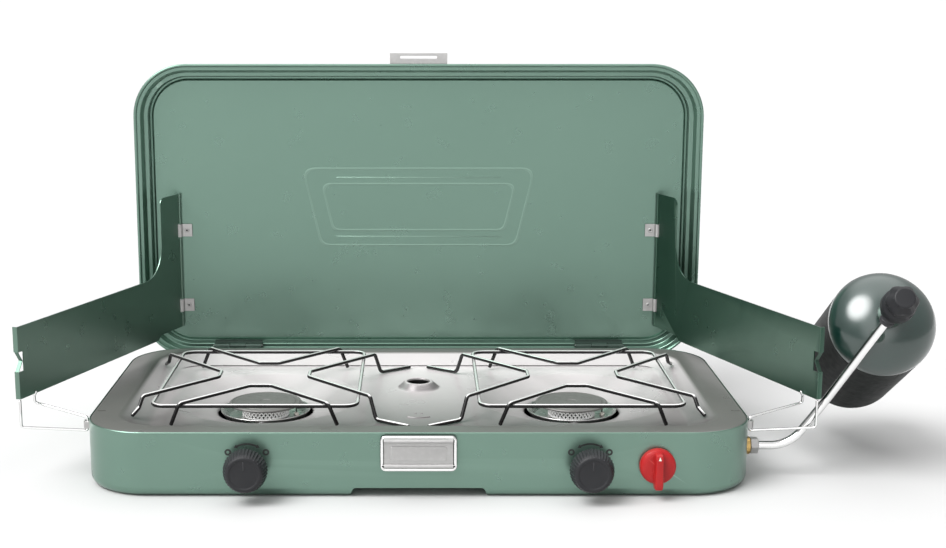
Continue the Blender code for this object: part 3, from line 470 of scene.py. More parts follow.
def sweep(path, radius, sides=16, inner=0.0, closed=False, round_ends=True, bm=None):
    """A round rod or tube along a path, with domed ends unless it is a tube or a loop."""
    count = len(path)
    last = count - 1
    if closed:
        tangents = [(path[(i + 1) % count] - path[i - 1]).normalized() for i in range(count)]
    else:
        tangents = [(path[min(i + 1, last)] - path[max(i - 1, 0)]).normalized() for i in range(count)]
    side, _ = across(tangents[0])
    stations = []
    for point, tangent in zip(path, tangents):
        side = (side - tangent * side.dot(tangent)).normalized()
        stations.append((point, side.copy(), tangent.cross(side), radius))
    if round_ends and not closed and not inner:
        first, final = stations[0], stations[-1]
        head = [(first[0] + tangents[0] * radius * s, first[1], first[2], radius * w)
                for s, w in ((0.0, 0.45), (0.15, 0.8), (0.45, 1.0))]
        tail = [(final[0] - tangents[-1] * radius * s, final[1], final[2], radius * w)
                for s, w in ((0.45, 1.0), (0.15, 0.8), (0.0, 0.45))]
        stations = head + stations[1:-1] + tail

    def ring(station, width):
        point, a, b, _ = station
        turns = (2 * math.pi * i / sides for i in range(sides))
        return [point + (a * math.cos(t) + b * math.sin(t)) * width for t in turns]

    outer = [ring(station, station[3]) for station in stations]
    if inner:
        return loft(outer + [ring(station, inner) for station in stations[::-1]], closed=True, bm=bm)
    return loft(outer, closed=closed, bm=bm)


def extrude(points, place, low, high, bm=None):
    return loft([[place(a, b, depth) for a, b in points] for depth in (low, high)], bm=bm)


def block(x0, x1, y0, y1, z0, z1):
    ring = [(x0, y0), (x1, y0), (x1, y1), (x0, y1)]
    return loft([[(x, y, z) for x, y in ring] for z in (z0, z1)])


# ---------------------------------------------------------------- sizes taken from the frame

CASE_HIGH = box_mm("case_shell")[1]
SIDE, HALF_D, CASE_H = CASE_HIGH
CASE_R = 60.0
SHEET = 1.2
TRAY_TOP = box_mm("cooktop_tray")[1].z
FLOOR_Z = 50.0
BURNER_X = 155.0
KNOB_X, IGNITER_X, HINGE_X = 156.0, 217.0, 202.0
KNOB_Z = joint_point("left_knob_turn").z
FRONT = -HALF_D


# ---------------------------------------------------------------- case

def case_ring(inset, z):
    ring = outline(-SIDE + inset, SIDE - inset, -HALF_D + inset, HALF_D - inset, CASE_R - inset, 20)
    return [(x, y, z) for x, y in ring]


def fillet_rings(inset, low, radius=9.0, steps=8):
    rings = []
    for step in range(steps + 1):
        turn = math.radians(90.0 * step / steps)
        reach = radius - inset
        rings.append(case_ring(radius - reach * math.sin(turn), low + reach * (1 - math.cos(turn))))
    return rings


def recess(sign, grow):
    """The finger recess under the front or rear edge, with rounded upper corners."""
    half, height, slope = 64.5 + grow, 9.0 + grow, 5.0
    corners = [(-half - 1, -5.0), (half + 1, -5.0), (half - slope, height), (slope - half, height)]
    shape = rounded(corners, 4.0, 5, ends=False)
    return extrude(shape, lambda x, z, y: (x, sign * y, z), HALF_D - 30.0 - grow, HALF_D + 2.0)


def drill(start, axis, length, radius, sides=40):
    return lathe([(0, 0), (0, radius), (length, radius), (length, 0)], start, axis, sides)


def make_case():
    top = [case_ring(0.0, CASE_H - 0.9), case_ring(0.25, CASE_H - 0.35), case_ring(0.7, CASE_H)]
    shell = finish_mesh("case", loft(fillet_rings(0.0, 0.0) + top), 30)
    inner = fillet_rings(SHEET, SHEET) + [
        case_ring(SHEET, 58.8), case_ring(SHEET + 4, 58.8), case_ring(SHEET + 4, 60.0),
        case_ring(SHEET, 60.0), case_ring(SHEET, CASE_H + 8.0),
    ]
    hollow = finish_mesh("hollow", loft(inner), 30)
    for sign in (-1, 1):
        carve(shell, recess(sign, 0.0))
        carve(hollow, recess(sign, SHEET))
    carve(shell, hollow)
    for _, sign in SIDES:
        carve(shell, drill((sign * KNOB_X, FRONT - 3, KNOB_Z), (0, 1, 0), 8, 6.0))
    carve(shell, drill((IGNITER_X, FRONT - 3, KNOB_Z), (0, 1, 0), 8, 5.0))
    port = joint_point("supply_swivel")
    carve(shell, drill((SIDE - 5, port.y, port.z), (1, 0, 0), 8, 6.4))
    piece("case_body", shell, "green_enamel", "case", ["case_shell"], bevel=0.35, weighted=True)


def make_marks():
    """Generic printed turn marks round each control: an arrowed arc, and a ring at each end of it."""
    face, ink = FRONT - 0.02, 0.1

    def on_face(x, z, depth):
        return (x, face - depth, z)

    def ring(bm, x, z, radius, line):
        steps = 32
        outer = arc((x, z), radius, 0, 360, steps)[:-1]
        inner = arc((x, z), radius - line, 0, 360, steps)[:-1]
        loft([[on_face(a, b, d) for a, b in loop] for loop, d in
              ((outer, 0), (outer, ink), (inner, ink), (inner, 0))], closed=True, bm=bm)

    def swept_arc(bm, x, z, radius, line, half):
        shape = arc((x, z), radius + line / 2, 90 + half, 90 - half, 24)
        shape += arc((x, z), radius - line / 2, 90 - half, 90 + half, 24)
        extrude(shape, on_face, 0, ink, bm=bm)

    def arrow(bm, x, z, radius, turn, size, way):
        point = Vector((math.cos(turn), math.sin(turn)))
        ahead = Vector((-point.y, point.x)) * way
        tip = point * radius + ahead * size * 1.6
        corners = [tip, point * (radius + size), point * (radius - size)]
        extrude([(x + c.x, z + c.y) for c in corners], on_face, 0, ink, bm=bm)

    for side, sign in SIDES:
        bm = bmesh.new()
        x = sign * KNOB_X
        swept_arc(bm, x, KNOB_Z, 19.8, 1.6, 27)
        for way in (-1, 1):
            arrow(bm, x, KNOB_Z, 19.8, math.radians(90 + way * 27), 1.9, way)
            ring(bm, x + way * 17.3, KNOB_Z + 12.0, 3.1, 1.75)
        piece("control_marks_" + side, bm, "mark_ink", "case")


# ---------------------------------------------------------------- tray

def make_tray():
    """One pressed sheet: rolled flange, sloping walls with creases, two wells and a boss."""
    rim = SHEET + 0.3

    def ring(bm, x, y0, y1, radius, z):
        return [bm.verts.new((a, b, z)) for a, b in outline(-x, x, y0, y1, radius, 20)]

    def circle(bm, x, y, z, radius, sides=96):
        return [bm.verts.new((x + radius * math.cos(t), y + radius * math.sin(t), z))
                for t in (2 * math.pi * i / sides for i in range(sides))]

    def band(bm, loops):
        for a, b in zip(loops, loops[1:]):
            skin(bm, a, b)
        return loops

    bm = bmesh.new()
    walls = [(SIDE - rim, FRONT + rim, HALF_D - rim, CASE_R - rim, TRAY_TOP - 0.5),
             (SIDE - rim - 0.6, FRONT + rim + 0.6, HALF_D - rim - 0.6, CASE_R - rim - 0.6, TRAY_TOP - 0.1),
             (SIDE - rim - 1.6, FRONT + rim + 1.6, HALF_D - rim - 1.6, CASE_R - rim - 1.6, TRAY_TOP),
             (284.5, -142.5, 150.5, 43.0, TRAY_TOP), (283.0, -141.0, 149.0, 42.0, TRAY_TOP - 0.15)]
    top, low = Vector((281.5, 0)), Vector((258.0, 0))
    for share in (0.04, 0.10, 0.5, 0.90, 0.96):
        x = top.x + (low.x - top.x) * share
        drop = (TRAY_TOP - FLOOR_Z) * (0.06 + 0.88 * share)
        grow = 283.0 - x
        walls.append((x, -141.0 + grow, 149.0 - grow, 42.0 - grow * 0.72, TRAY_TOP - drop))
    walls += [(256.8, -116.5, 126.5, 24.0, FLOOR_Z + 0.25), (255.0, -115.0, 125.0, 23.0, FLOOR_Z),
              (253.0, -113.0, 123.0, 21.0, FLOOR_Z)]
    loops = band(bm, [ring(bm, *wall) for wall in walls])
    edges = []

    def border(loop):
        pairs = zip(loop, loop[1:] + loop[:1])
        edges.extend(bm.edges.get(pair) or bm.edges.new(pair) for pair in pairs)

    border(loops[-1])
    well = [(98.0, 50.0), (96.0, 49.95), (94.0, 49.6), (91.0, 48.8), (56.0, 38.2), (53.0, 37.2), (50.6, 36.3),
            (49.2, 35.6), (48.2, 34.8), (47.8, 34.0)]
    boss = [(23.5, 50.0), (22.0, 50.1), (20.8, 50.7), (19.6, 52.0), (16.2, 55.0), (15.2, 56.0), (14.2, 56.7),
            (13.0, 57.0), (12.0, 56.7), (11.3, 55.9), (11.0, 54.6), (10.9, 50.0)]
    for x, y, shape in ((-BURNER_X, 0.0, well), (BURNER_X, 0.0, well), (0.0, 37.0, boss)):
        loops = band(bm, [circle(bm, x, y, z, radius) for radius, z in shape])
        border(loops[0])
    bmesh.ops.triangle_fill(bm, use_beauty=True, use_dissolve=False, edges=edges)
    tray = finish_mesh("tray", bm, 40)
    sheet = tray.modifiers.new("sheet", "SOLIDIFY")
    sheet.thickness = 0.9 * MM
    sheet.offset = -1.0
    for _, sign in SIDES:
        x = sign * (SIDE - 8.0)
        slot = block(x - 4, x + 4, -91.8, -90.2, 55.0, 66.0)
        carve(tray, slot, angle=40.0)
    piece("tray", tray, "tray_steel", "case", ["cooktop_tray"])

    bm = bmesh.new()
    smile = [Vector((x, -76.5 + 0.025 * x * x, FLOOR_Z - 0.2)) for x in range(-11, 12)]
    sweep(smile, 1.1, 12, bm=bm)
    for x, y in ((-3.0, -62.0), (3.0, -62.0)):
        dot = [(0, 0), (0.0, 1.3), (0.5, 1.1), (0.8, 0.5), (0.85, 0)]
        lathe(dot, (x, y, FLOOR_Z - 0.1), (0, 0, 1), 16, bm=bm)
    for x in (-KNOB_X, KNOB_X, IGNITER_X + 1.0):
        sweep([Vector((x + end, -158.0, TRAY_TOP - 0.5)) for end in (-3, 3)], 0.8, 10, bm=bm)
    piece("tray_beads", bm, "tray_steel", "case")


# ---------------------------------------------------------------- burners

def make_burners():
    for side, sign in SIDES:
        x = sign * BURNER_X
        centre = Vector((x, 0, 0))
        profile = rounded([
            (16.0, 0), (16.0, 16.0), (20.0, 24.0), (28.0, 38.5), (36.3, 44.6), (37.7, 45.2), (38.2, 44.8),
            (37.9, 44.0), (36.9, 43.2), (31.2, 37.0), (31.2, 20.5), (26.0, 19.5), (24.0, 13.0), (24.0, 0),
        ], 0.8)
        bowl = finish_mesh("bowl", lathe(profile, centre, (0, 0, 1), 96), 40)
        carve(bowl, drill((x, -14.5, 22.0), (0, -1, 0), 29.5, 8.6), "UNION", 40.0)
        carve(bowl, drill((x, -8.0, 24.0), (0, -1, 0), 40.0, 4.6), angle=40.0)
        carve(bowl, drill((x + 31.0, 0, 10.0), (0, 0, 1), 60.0, 3.1, 24), angle=40.0)
        piece("burner_bowl_" + side, bowl, "bowl_steel", "case", ["burner_bowl_" + side])

        cap = rounded([
            (43.0, 0), (43.0, 30.0), (43.0, 35.5), (44.0, 36.5), (45.2, 36.0), (45.9, 34.0), (45.4, 33.0),
            (45.4, 31.0), (46.0, 30.0), (46.0, 6.0), (45.5, 5.0), (45.5, 0),
        ], 0.5)
        piece("burner_cap_" + side, lathe(cap, centre, (0, 0, 1), 96), "burner_alloy", "case",
              ["burner_cap_" + side], angle=40)

        make_screen(side, centre)


def make_screen(side, centre):
    """A woven wire band between the bowl and the cap, with a rolled edge at the top and bottom."""
    radius, low, high, wires, steps, lean = 22.9, 31.9, 42.3, 36, 8, 0.36
    bm = bmesh.new()
    for way in (-1, 1):
        for wire in range(wires):
            start = 2 * math.pi * wire / wires
            path = []
            for step in range(steps + 1):
                share = step / steps
                turn = start + way * lean * share
                weave = radius + way * 0.22 * math.cos(math.pi * step)
                path.append(centre + Vector((weave * math.cos(turn), weave * math.sin(turn),
                                             low + (high - low) * share)))
            sweep(path, 0.72, 6, round_ends=False, bm=bm)
    for z in (low + 0.4, high - 0.4):
        loop = [centre + Vector((radius * math.cos(t), radius * math.sin(t), z))
                for t in (2 * math.pi * i / 72 for i in range(72))]
        sweep(loop, 0.7, 8, closed=True, bm=bm)
    piece("burner_screen_" + side, bm, "screen_steel", "case", ["burner_screen_" + side], angle=60)


def make_electrodes():
    for side, sign in SIDES:
        x = sign * BURNER_X + 31.0
        profile = rounded([(20.0, 0), (20.0, 2.5), (26.0, 2.5), (26.6, 2.1), (28.0, 2.1), (28.6, 2.5),
                           (33.5, 2.4), (34.1, 1.4), (34.1, 0)], 0.3)
        bm = lathe(profile, (x, 0, 0), (0, 0, 1), 32)
        piece("spark_insulator_" + side, bm, "ceramic_white", "case", ["spark_electrode_" + side])
        wire = sweep([Vector((x, 0, 33.5)), Vector((x, 0, 38.5)), Vector((x - 0.6, 0, 40.3))], 0.8, 12)
        piece("spark_wire_" + side, wire, "wire_chrome", "case")


# ---------------------------------------------------------------- grates

def make_grates():
    rod, ring_z, arm_z, foot_z = 1.9, 70.4, 73.7, 52.4
    bar = [(78.5, 109.5, foot_z), (70.0, 110.5, arm_z), (10.5, 45.0, arm_z)]
    inner = [(146.0, 113.5, foot_z), (114.5, 91.0, foot_z), (108.5, 83.5, arm_z), (45.0, 10.5, arm_z)]
    outer = [(116.5, 100.0, 58.8), (111.5, 90.0, 64.0), (108.5, 83.5, arm_z), (45.0, 10.5, arm_z)]
    for side, sign in SIDES:
        centre = Vector((sign * BURNER_X, 0, 0))
        bm = bmesh.new()
        loop = [centre + Vector((x, y, ring_z)) for x, y in outline(-97.0, 97.0, -107.0, 107.0, 12.0, 8)]
        sweep(loop, rod, 16, closed=True, bm=bm)
        for end in (-1, 1):
            points = [(x, end * y, z) for x, y, z in bar] + [(-x, end * y, z) for x, y, z in bar[::-1]]
            sweep(rounded_path([centre + Vector(p) for p in points], 5.0, 7), rod, 16, bm=bm)
            half = inner if end != sign else outer
            points = [(end * x, y, z) for x, y, z in half] + [(end * x, -y, z) for x, y, z in half[::-1]]
            sweep(rounded_path([centre + Vector(p) for p in points], 5.0, 7), rod, 16, bm=bm)
        piece("grate_" + side, bm, "wire_chrome", side + "_pan_support", ["grate_" + side], angle=60)


# ---------------------------------------------------------------- lid and hinges

LID_LOW, LID_HIGH = box_mm("lid_shell")
RIM_Y = LID_LOW.y
LID_R = 58.0
BAND, PANEL, GROOVE = 12.0, 18.2, 22.0
PANEL_Y = RIM_Y + PANEL


def lid_ring(inset, depth):
    low, high = LID_LOW + Vector((inset, 0, inset)), LID_HIGH - Vector((inset, 0, inset))
    ring = outline(low.x, high.x, low.z, high.z, LID_R - inset, 24)
    return [(x, RIM_Y + depth, z) for x, z in ring]


def make_lid():
    """A stepped pan with a rolled hem, a step, a groove and a flat panel with a pressed plaque."""
    back = rounded([
        (40.0, PANEL + 1), (19.6, PANEL + 1), (18.2, GROOVE + 0.4), (17.3, GROOVE + 1), (14.4, GROOVE + 1),
        (13.3, GROOVE + 0.2), (13.0, BAND + 1.3), (9.0, BAND + 1), (8.2, BAND + 0.2), (6.4, 2.95), (3.0, 3.1),
    ], 0.8)
    hem = arc((1.7, 1.65), 1.65, 80, 360, 16)
    front = rounded([
        (3.6, 2.1), (6.8, 2.1), (7.4, 2.6), (9.4, BAND - 0.5), (9.9, BAND), (13.5, BAND), (14.1, BAND + 0.6),
        (14.4, GROOVE - 0.8), (15.0, GROOVE), (17.0, GROOVE), (17.6, GROOVE - 0.8), (18.3, PANEL + 0.5),
        (19.4, PANEL), (40.0, PANEL),
    ], 0.8)
    lid = finish_mesh("lid", loft([lid_ring(*step) for step in back + hem + front]), 35)
    for _, sign in SIDES:
        x = sign * HINGE_X
        pocket = block(x - 28.0, x + 28.0, RIM_Y - 1, RIM_Y + 10.5, LID_LOW.z - 1, 59.6)
        carve(lid, pocket, angle=35)
    piece("lid_pan", lid, "green_enamel", "lid", ["lid_shell"], weighted=True)

    def lens(points, height, band):
        """A raised outline band that stands `height` off the panel."""
        loops = []
        for grow, lift in ((0.0, -0.3), (0.0, 0.0), (-0.5 * band, height), (-band, 0.0), (-band, -0.3)):
            loops.append([(x, PANEL_Y - lift, z) for x, z in points(grow)])
        return loops

    middle = 216.9
    bm = bmesh.new()
    slant = 13.0

    def plaque(half, tall, radius):
        def points(grow):
            lean = slant * tall / 43.0
            wide, narrow = half + grow + lean / 2, half + grow - lean
            top, bottom = middle + tall + grow, middle - tall - grow
            shape = [(-wide, top), (-narrow, bottom), (narrow, bottom), (wide, top)]
            return rounded(shape, radius, 10, ends=False)
        return points

    for half, tall, radius in ((122.5, 44.0, 12.0), (104.0, 27.0, 9.0)):
        loft(lens(plaque(half, tall, radius), 0.26, 2.4), closed=True, bm=bm)
    for z in (middle - 33.0, middle + 33.0):
        bar = [Vector((x, PANEL_Y + 0.76, z)) for x in (-92.0, 92.0)]
        sweep(bar, 0.9, 12, bm=bm)
    piece("lid_plaque", bm, "green_enamel", "lid", angle=60)


def make_strike():
    top = LID_HIGH.z
    shape = rounded([(3.3, -6.0), (12.0, -7.7), (12.0, -6.5), (4.5, -5.0), (4.5, 11.5), (3.3, 11.5)],
                    0.5, ends=False)
    strike = extrude(shape, lambda y, z, x: (x, RIM_Y + y, top + z), -31.0, 31.0)
    strike = finish_mesh("strike", strike, 30)
    slot = rounded([(-20, top + 5.5), (20, top + 5.5), (20, top + 8.5), (-20, top + 8.5)], 1.2, ends=False)
    carve(strike, extrude(slot, lambda x, z, y: (x, y, z), RIM_Y, RIM_Y + 8))
    piece("lid_strike_plate", strike, "bright_steel", "lid", ["lid_strike"], bevel=0.2)


def make_hinges():
    pivot = joint_point("lid_hinge")
    barrel = (pivot.y, pivot.z)
    face, knuckle, bore, half = HALF_D + 0.3, 2.6, 1.5, 26.5
    case_leaf = [(face, 42.0), (face, pivot.z)] + arc(barrel, knuckle, 180, -100, 28)
    case_leaf += arc(barrel, bore, -100, 180, 28) + [(face + 1.4, pivot.z - 1.5), (face + 1.4, 42.0)]
    flat = RIM_Y + BAND - 0.3
    lid_leaf = [(flat - 1.1, pivot.z + bore), (flat - 1.1, 59.4), (flat, 59.4), (flat, 67.4),
                (flat - 1.1, 67.4), (flat - 1.1, pivot.z + knuckle)]
    lid_leaf += arc(barrel, knuckle, 90, 330, 28) + arc(barrel, bore, 330, 90, 28)
    for side, sign in SIDES:
        x = sign * HINGE_X

        def place(y, z, depth):
            return (x + depth, y, z)

        # Both leaves take the dark hinge finish, painted shade for the pockets under the lid's rim.
        leaf = finish_mesh("leaf", extrude(case_leaf, place, -half, half), 30)
        carve(leaf, block(x - 9, x + 9, HALF_D - 1, HALF_D + 9, 58.5, 68))
        for end in (-1, 1):
            rivet = [(1.0, 0), (1.0, 3.4), (1.9, 3.0), (2.5, 1.6), (2.5, 0)]
            carve(leaf, lathe(rivet, (x + end * 17, face, 49.0), (0, 1, 0), 24), "UNION")
        piece("case_hinge_" + side, leaf, "hinge_steel", "case", ["case_hinge_leaf_" + side], bevel=0.15)
        leaf = finish_mesh("leaf", extrude(lid_leaf, place, -half, half), 30)
        for end in (-1, 1):
            low, high = sorted((x + end * 8.6, x + end * 30))
            carve(leaf, block(low, high, HALF_D - 2, pivot.y + 3.6, 58, 68))
        piece("lid_hinge_" + side, leaf, "hinge_steel", "lid", ["lid_hinge_leaf_" + side], bevel=0.15)


# ---------------------------------------------------------------- wind guards, clips and stays

CLIP_LEVELS = (("lower", 106.5), ("upper", 191.2))


def make_guards():
    bottom, hinge_bottom, arm_top, top = 77.5, 82.5, 147.0, 232.5
    neck, fillet, rolled = 42.0, 34.0, 1.6
    for side, sign in SIDES:
        pivot = joint_point(side + "_guard_hinge")
        hinge = Vector((pivot.x, pivot.y, 0.0))
        free_edge = Vector((sign * 374.0, -110.0, 0.0))
        reach = free_edge - hinge
        length = reach.length
        along = reach.normalized()
        outward = Vector((-along.y, along.x, 0.0)) * sign
        notch = (bottom + arm_top) / 2 + 1.0

        def place(a, z, depth):
            return hinge + along * a + outward * depth + Vector((0, 0, z))

        shape = [(0.0, hinge_bottom), (46.0, hinge_bottom), (50.5, hinge_bottom - 0.8), (54.0, bottom + 0.9),
                 (58.0, bottom), (length, bottom), (length, notch - 9.5), (length - 8.0, notch - 9.5),
                 (length - 8.0, notch + 9.5), (length, notch + 9.5), (length, arm_top)]
        shape += arc((neck + fillet, arm_top + fillet), fillet, 270, 180, 24)
        shape += arc((neck - 8.0, top - 8.0), 8.0, 0, 90, 12) + [(0.0, top)]
        for _, z in reversed(CLIP_LEVELS):
            shape += [(0.0, z + 8.2), (5.0, z + 8.2), (5.0, z - 8.2), (0.0, z - 8.2)]
        guard = finish_mesh("guard", extrude(shape, place, -0.5, 0.5), 30)
        edge = drill(hinge + Vector((0, 0, hinge_bottom)), (0, 0, 1), top - hinge_bottom, rolled, 32)
        carve(guard, edge, "UNION")
        for low, high in ((bottom, notch - 9.5), (notch + 9.5, arm_top)):
            lip = [(length - 2.4, -0.4)] + arc((length - 2.0, 1.6), 2.0, 270, 360, 8)
            lip += [(length, 4.6), (length - 0.9, 4.6)] + arc((length - 2.0, 1.6), 1.1, 0, -90, 8)
            lip += [(length - 2.4, 0.4)]
            flange = extrude(lip, lambda a, depth, z: place(a, z, depth), low, high)
            carve(guard, flange, "UNION")
        # The guard takes the darker, shaded copy of the green paint: painted shade.
        piece("guard_" + side, guard, "shaded_guard_enamel", side + "_guard", ["wind_guard_" + side], bevel=0.18,
              weighted=True)

        # The flange runs on across the notch as a thin V of sheet
        dip = [(length - 0.4, notch - 10.2), (length - 7.2, notch), (length - 0.4, notch + 10.2)]
        bm = bmesh.new()
        for (a, z), (b, y) in zip(dip, dip[1:]):
            run = Vector((b - a, y - z)).normalized() * 0.35
            thick = Vector((run.y, -run.x))
            corners = [(a - run.x + thick.x, z - run.y + thick.y), (b + run.x + thick.x, y + run.y + thick.y),
                       (b + run.x - thick.x, y + run.y - thick.y), (a - run.x - thick.x, z - run.y - thick.y)]
            extrude(corners, place, 0.2, 4.2, bm=bm)
        piece("guard_notch_" + side, bm, "shaded_guard_enamel", side + "_guard", bevel=0.12)


def make_clips():
    outer, inner, tall, reach = 3.0, 2.0, 14.0, 13.2
    for side, sign in SIDES:
        pivot = joint_point(side + "_guard_hinge")
        back = pivot.y + outer
        shape = [(reach, back), (0.0, back)] + arc((0.0, pivot.y), outer, 100, 320, 32)
        shape += arc((0.0, pivot.y), inner, 320, 100, 32)
        shape += [(0.0, pivot.y + inner), (reach, pivot.y + inner)]
        for level, z in CLIP_LEVELS:
            def place(a, y, depth):
                return (pivot.x - sign * a, y, depth)

            clip = finish_mesh("clip", extrude(shape, place, z - tall / 2, z + tall / 2), 30)
            rivet = rounded([(-0.6, 0), (-0.6, 2.3), (1.4, 2.3), (1.4, 1.2), (0.9, 0.9), (0.7, 0)], 0.4)
            centre = (pivot.x - sign * 7.4, back - 1.0, z)
            carve(clip, lathe(rivet, centre, (0, -1, 0), 32), "UNION")
            piece(f"clip_{level}_{side}", clip, "bright_steel", "lid", [f"guard_clip_{level}_{side}"],
                  bevel=0.15)
            dot = lathe([(0.2, 0), (0.2, 0.9), (1.15, 0.9), (1.15, 0)], centre, (0, -1, 0), 20)
            piece(f"clip_{level}_{side}_core", dot, "lead_rubber", "lid")


def make_stays():
    wire = 1.25
    for side, sign in SIDES:
        pivot = joint_point(side + "_stay_pivot")
        x, y = abs(pivot.x), pivot.y
        points = [(374.5, -108.5, 76.4), (374.5, -108.5, 50.0), (x, y, 44.0), (x, y, 57.0),
                  (367.0, -84.0, 67.5), (366.0, -88.6, 75.6), (363.4, -89.8, 80.6)]
        path = rounded_path([(sign * a, b, c) for a, b, c in points], 2.6, 8)
        piece("stay_" + side, sweep(path, wire, 16), "tube_chrome", side + "_stay", ["guard_stay_" + side],
              angle=60)
        low, high = sorted((sign * (SIDE + 0.3), sign * (x + 3.2)))
        eye = finish_mesh("eye", block(low, high, y - 5, y + 5, 47.0, 54.0), 30)
        carve(eye, drill((sign * x, y, 40.0), (0, 0, 1), 24.0, wire + 0.4, 24))
        for end in (-1, 1):
            chamfer = extrude([(x + 1.0, y + end * 5.5), (x + 4.0, y + end * 5.5), (x + 4.0, y + end * 2.4)],
                              lambda a, b, c: (sign * a, b, c), 46.0, 55.0)
            carve(eye, chamfer)
        piece("stay_eye_plate_" + side, eye, "bright_steel", "case", ["stay_eye_" + side], bevel=0.35)


# ---------------------------------------------------------------- latch

def make_latch():
    low, high = box_mm("latch_frame")
    wire = 1.75
    y = low.y + wire + 1.6
    ring = outline(low.x + wire, high.x - wire, low.z + wire, high.z - wire, 3.4, 8)
    bm = sweep([Vector((x, y, z)) for x, z in ring], wire, 16, closed=True)
    for sign in (-1, 1):
        for z in (34.0, 53.0):
            foot = Vector((sign * (high.x - wire), y, z))
            sweep([foot, Vector((foot.x, high.y + 0.1, z))], 1.5, 14, bm=bm)
    piece("latch_loop", bm, "tube_chrome", "case", ["latch_frame"], angle=60)

    pivot = joint_point("latch_hinge")
    centre, half, top = (pivot.y, pivot.z), 31.3, 57.6
    shape = [(-168.0, pivot.z + 1.6), (-168.0, top - 1.4), (-168.7, top - 0.3), (-169.6, top), (-172.0, top),
             (-173.3, top - 0.4), (-174.0, top - 1.5), (-173.9, top - 2.6), (-173.0, top - 3.2),
             (-171.6, top - 3.4), (-170.2, top - 4.0), (-169.4, top - 5.4), (-169.4, pivot.z + 2.0)]
    shape += arc(centre, 2.6, 112, 430, 32) + arc(centre, 1.5, 70, -248, 32)[1:]
    lever = finish_mesh("lever", extrude(shape, lambda y, z, x: (x, y, z), -half, half), 30)
    pad = rounded([(-26.0, 36.5), (26.0, 36.5), (26.0, 50.0), (-26.0, 50.0)], 3.0, 6, ends=False)
    panel = loft([[(x * k, y, 43.25 + (z - 43.25) * k) for x, z in pad]
                  for k, y in ((1.0, -169.0), (1.0, -169.5), (0.975, -169.85))])
    carve(lever, panel, "UNION")
    piece("latch_plate", lever, "bright_steel", "latch_flap", ["latch_lever"], bevel=0.15)


# ---------------------------------------------------------------- controls

def make_knobs():
    ribs = 40

    def ribbed(turn, radius):
        if radius < 17.0:
            return radius
        share = min(1.0, (radius - 17.0) / 2.0)
        return radius - 0.95 * share * (0.5 - 0.5 * math.cos(ribs * turn)) ** 0.6

    profile = rounded([
        (0.8, 3.4), (0.8, 10.0), (5.0, 11.5), (11.0, 19.0), (15.0, 20.4), (21.0, 19.8), (27.0, 18.2),
        (30.5, 15.8), (30.5, 13.6), (29.9, 12.6), (29.9, 0),
    ], 2.2, 5)
    profile += [(15.6, 0), (15.6, 3.4)]
    for side, sign in SIDES:
        pivot = joint_point(side + "_knob_turn")
        knob = lathe(profile, pivot, (0, -1, 0), ribs * 8, reach=ribbed)
        piece("knob_" + side, knob, "dark_plastic", side + "_control", ["control_knob_" + side], angle=50)
        # A raised pointer on the face, and a ring of pips by the rim
        bm = bmesh.new()
        ridge = [pivot + Vector((0, -29.5, z)) for z in (4.0, 12.0)]
        sweep(ridge, 0.9, 12, bm=bm)
        for step in range(-3, 4):
            turn = math.radians(90 + step * 17)
            seat = pivot + Vector((16.0 * math.cos(turn), -29.3, 16.0 * math.sin(turn)))
            lathe([(0, 0), (0.0, 0.8), (0.5, 0.7), (0.8, 0.3), (0.85, 0)], seat, (0, -1, 0), 12, bm=bm)
        piece("knob_marks_" + side, bm, "dark_plastic", side + "_control", angle=60)

    pivot = joint_point("igniter_turn")
    disc = rounded([
        (0.8, 2.7), (0.8, 15.8), (1.2, 16.5), (5.4, 16.5), (7.4, 15.8), (8.6, 13.6), (9.0, 11.5), (9.0, 0),
    ], 1.0) + [(6.6, 0), (6.6, 2.7)]
    knob = finish_mesh("igniter", lathe(disc, pivot, (0, -1, 0), 96), 40)
    bar = rounded([(-3.4, -20.4), (3.4, -20.4), (4.0, -17.0), (4.0, 12.5), (3.0, 14.4), (-3.0, 14.4),
                   (-4.0, 12.5), (-4.0, -17.0)], 1.6, 5, ends=False)
    grip = loft([[pivot + Vector((x * k, -depth, -3.0 + (z + 3.0) * k)) for x, z in bar]
                 for depth, k in ((7.0, 1.0), (14.8, 0.95), (16.1, 0.9), (16.8, 0.78), (17.0, 0.6))])
    carve(knob, grip, "UNION", 35.0)
    piece("igniter_knob_cap", knob, "red_plastic", "igniter_control", ["igniter_knob"], bevel=0.3, angle=35)
    arrow = [(-1.3, 9.0), (1.3, 9.0), (0.0, 12.4)]
    bm = extrude(arrow, lambda x, z, d: pivot + Vector((x, -d, z)), 16.4, 16.98)
    piece("igniter_pointer", bm, "ceramic_white", "igniter_control")


# ---------------------------------------------------------------- gas supply and cylinder

AXIS = joint_axis("bottle_screw")
SHOULDER = joint_point("bottle_screw")
if AXIS.y < 0:
    AXIS.negate()
BOTTLE_R = 49.5


def on_bottle(distance):
    return SHOULDER + AXIS * distance


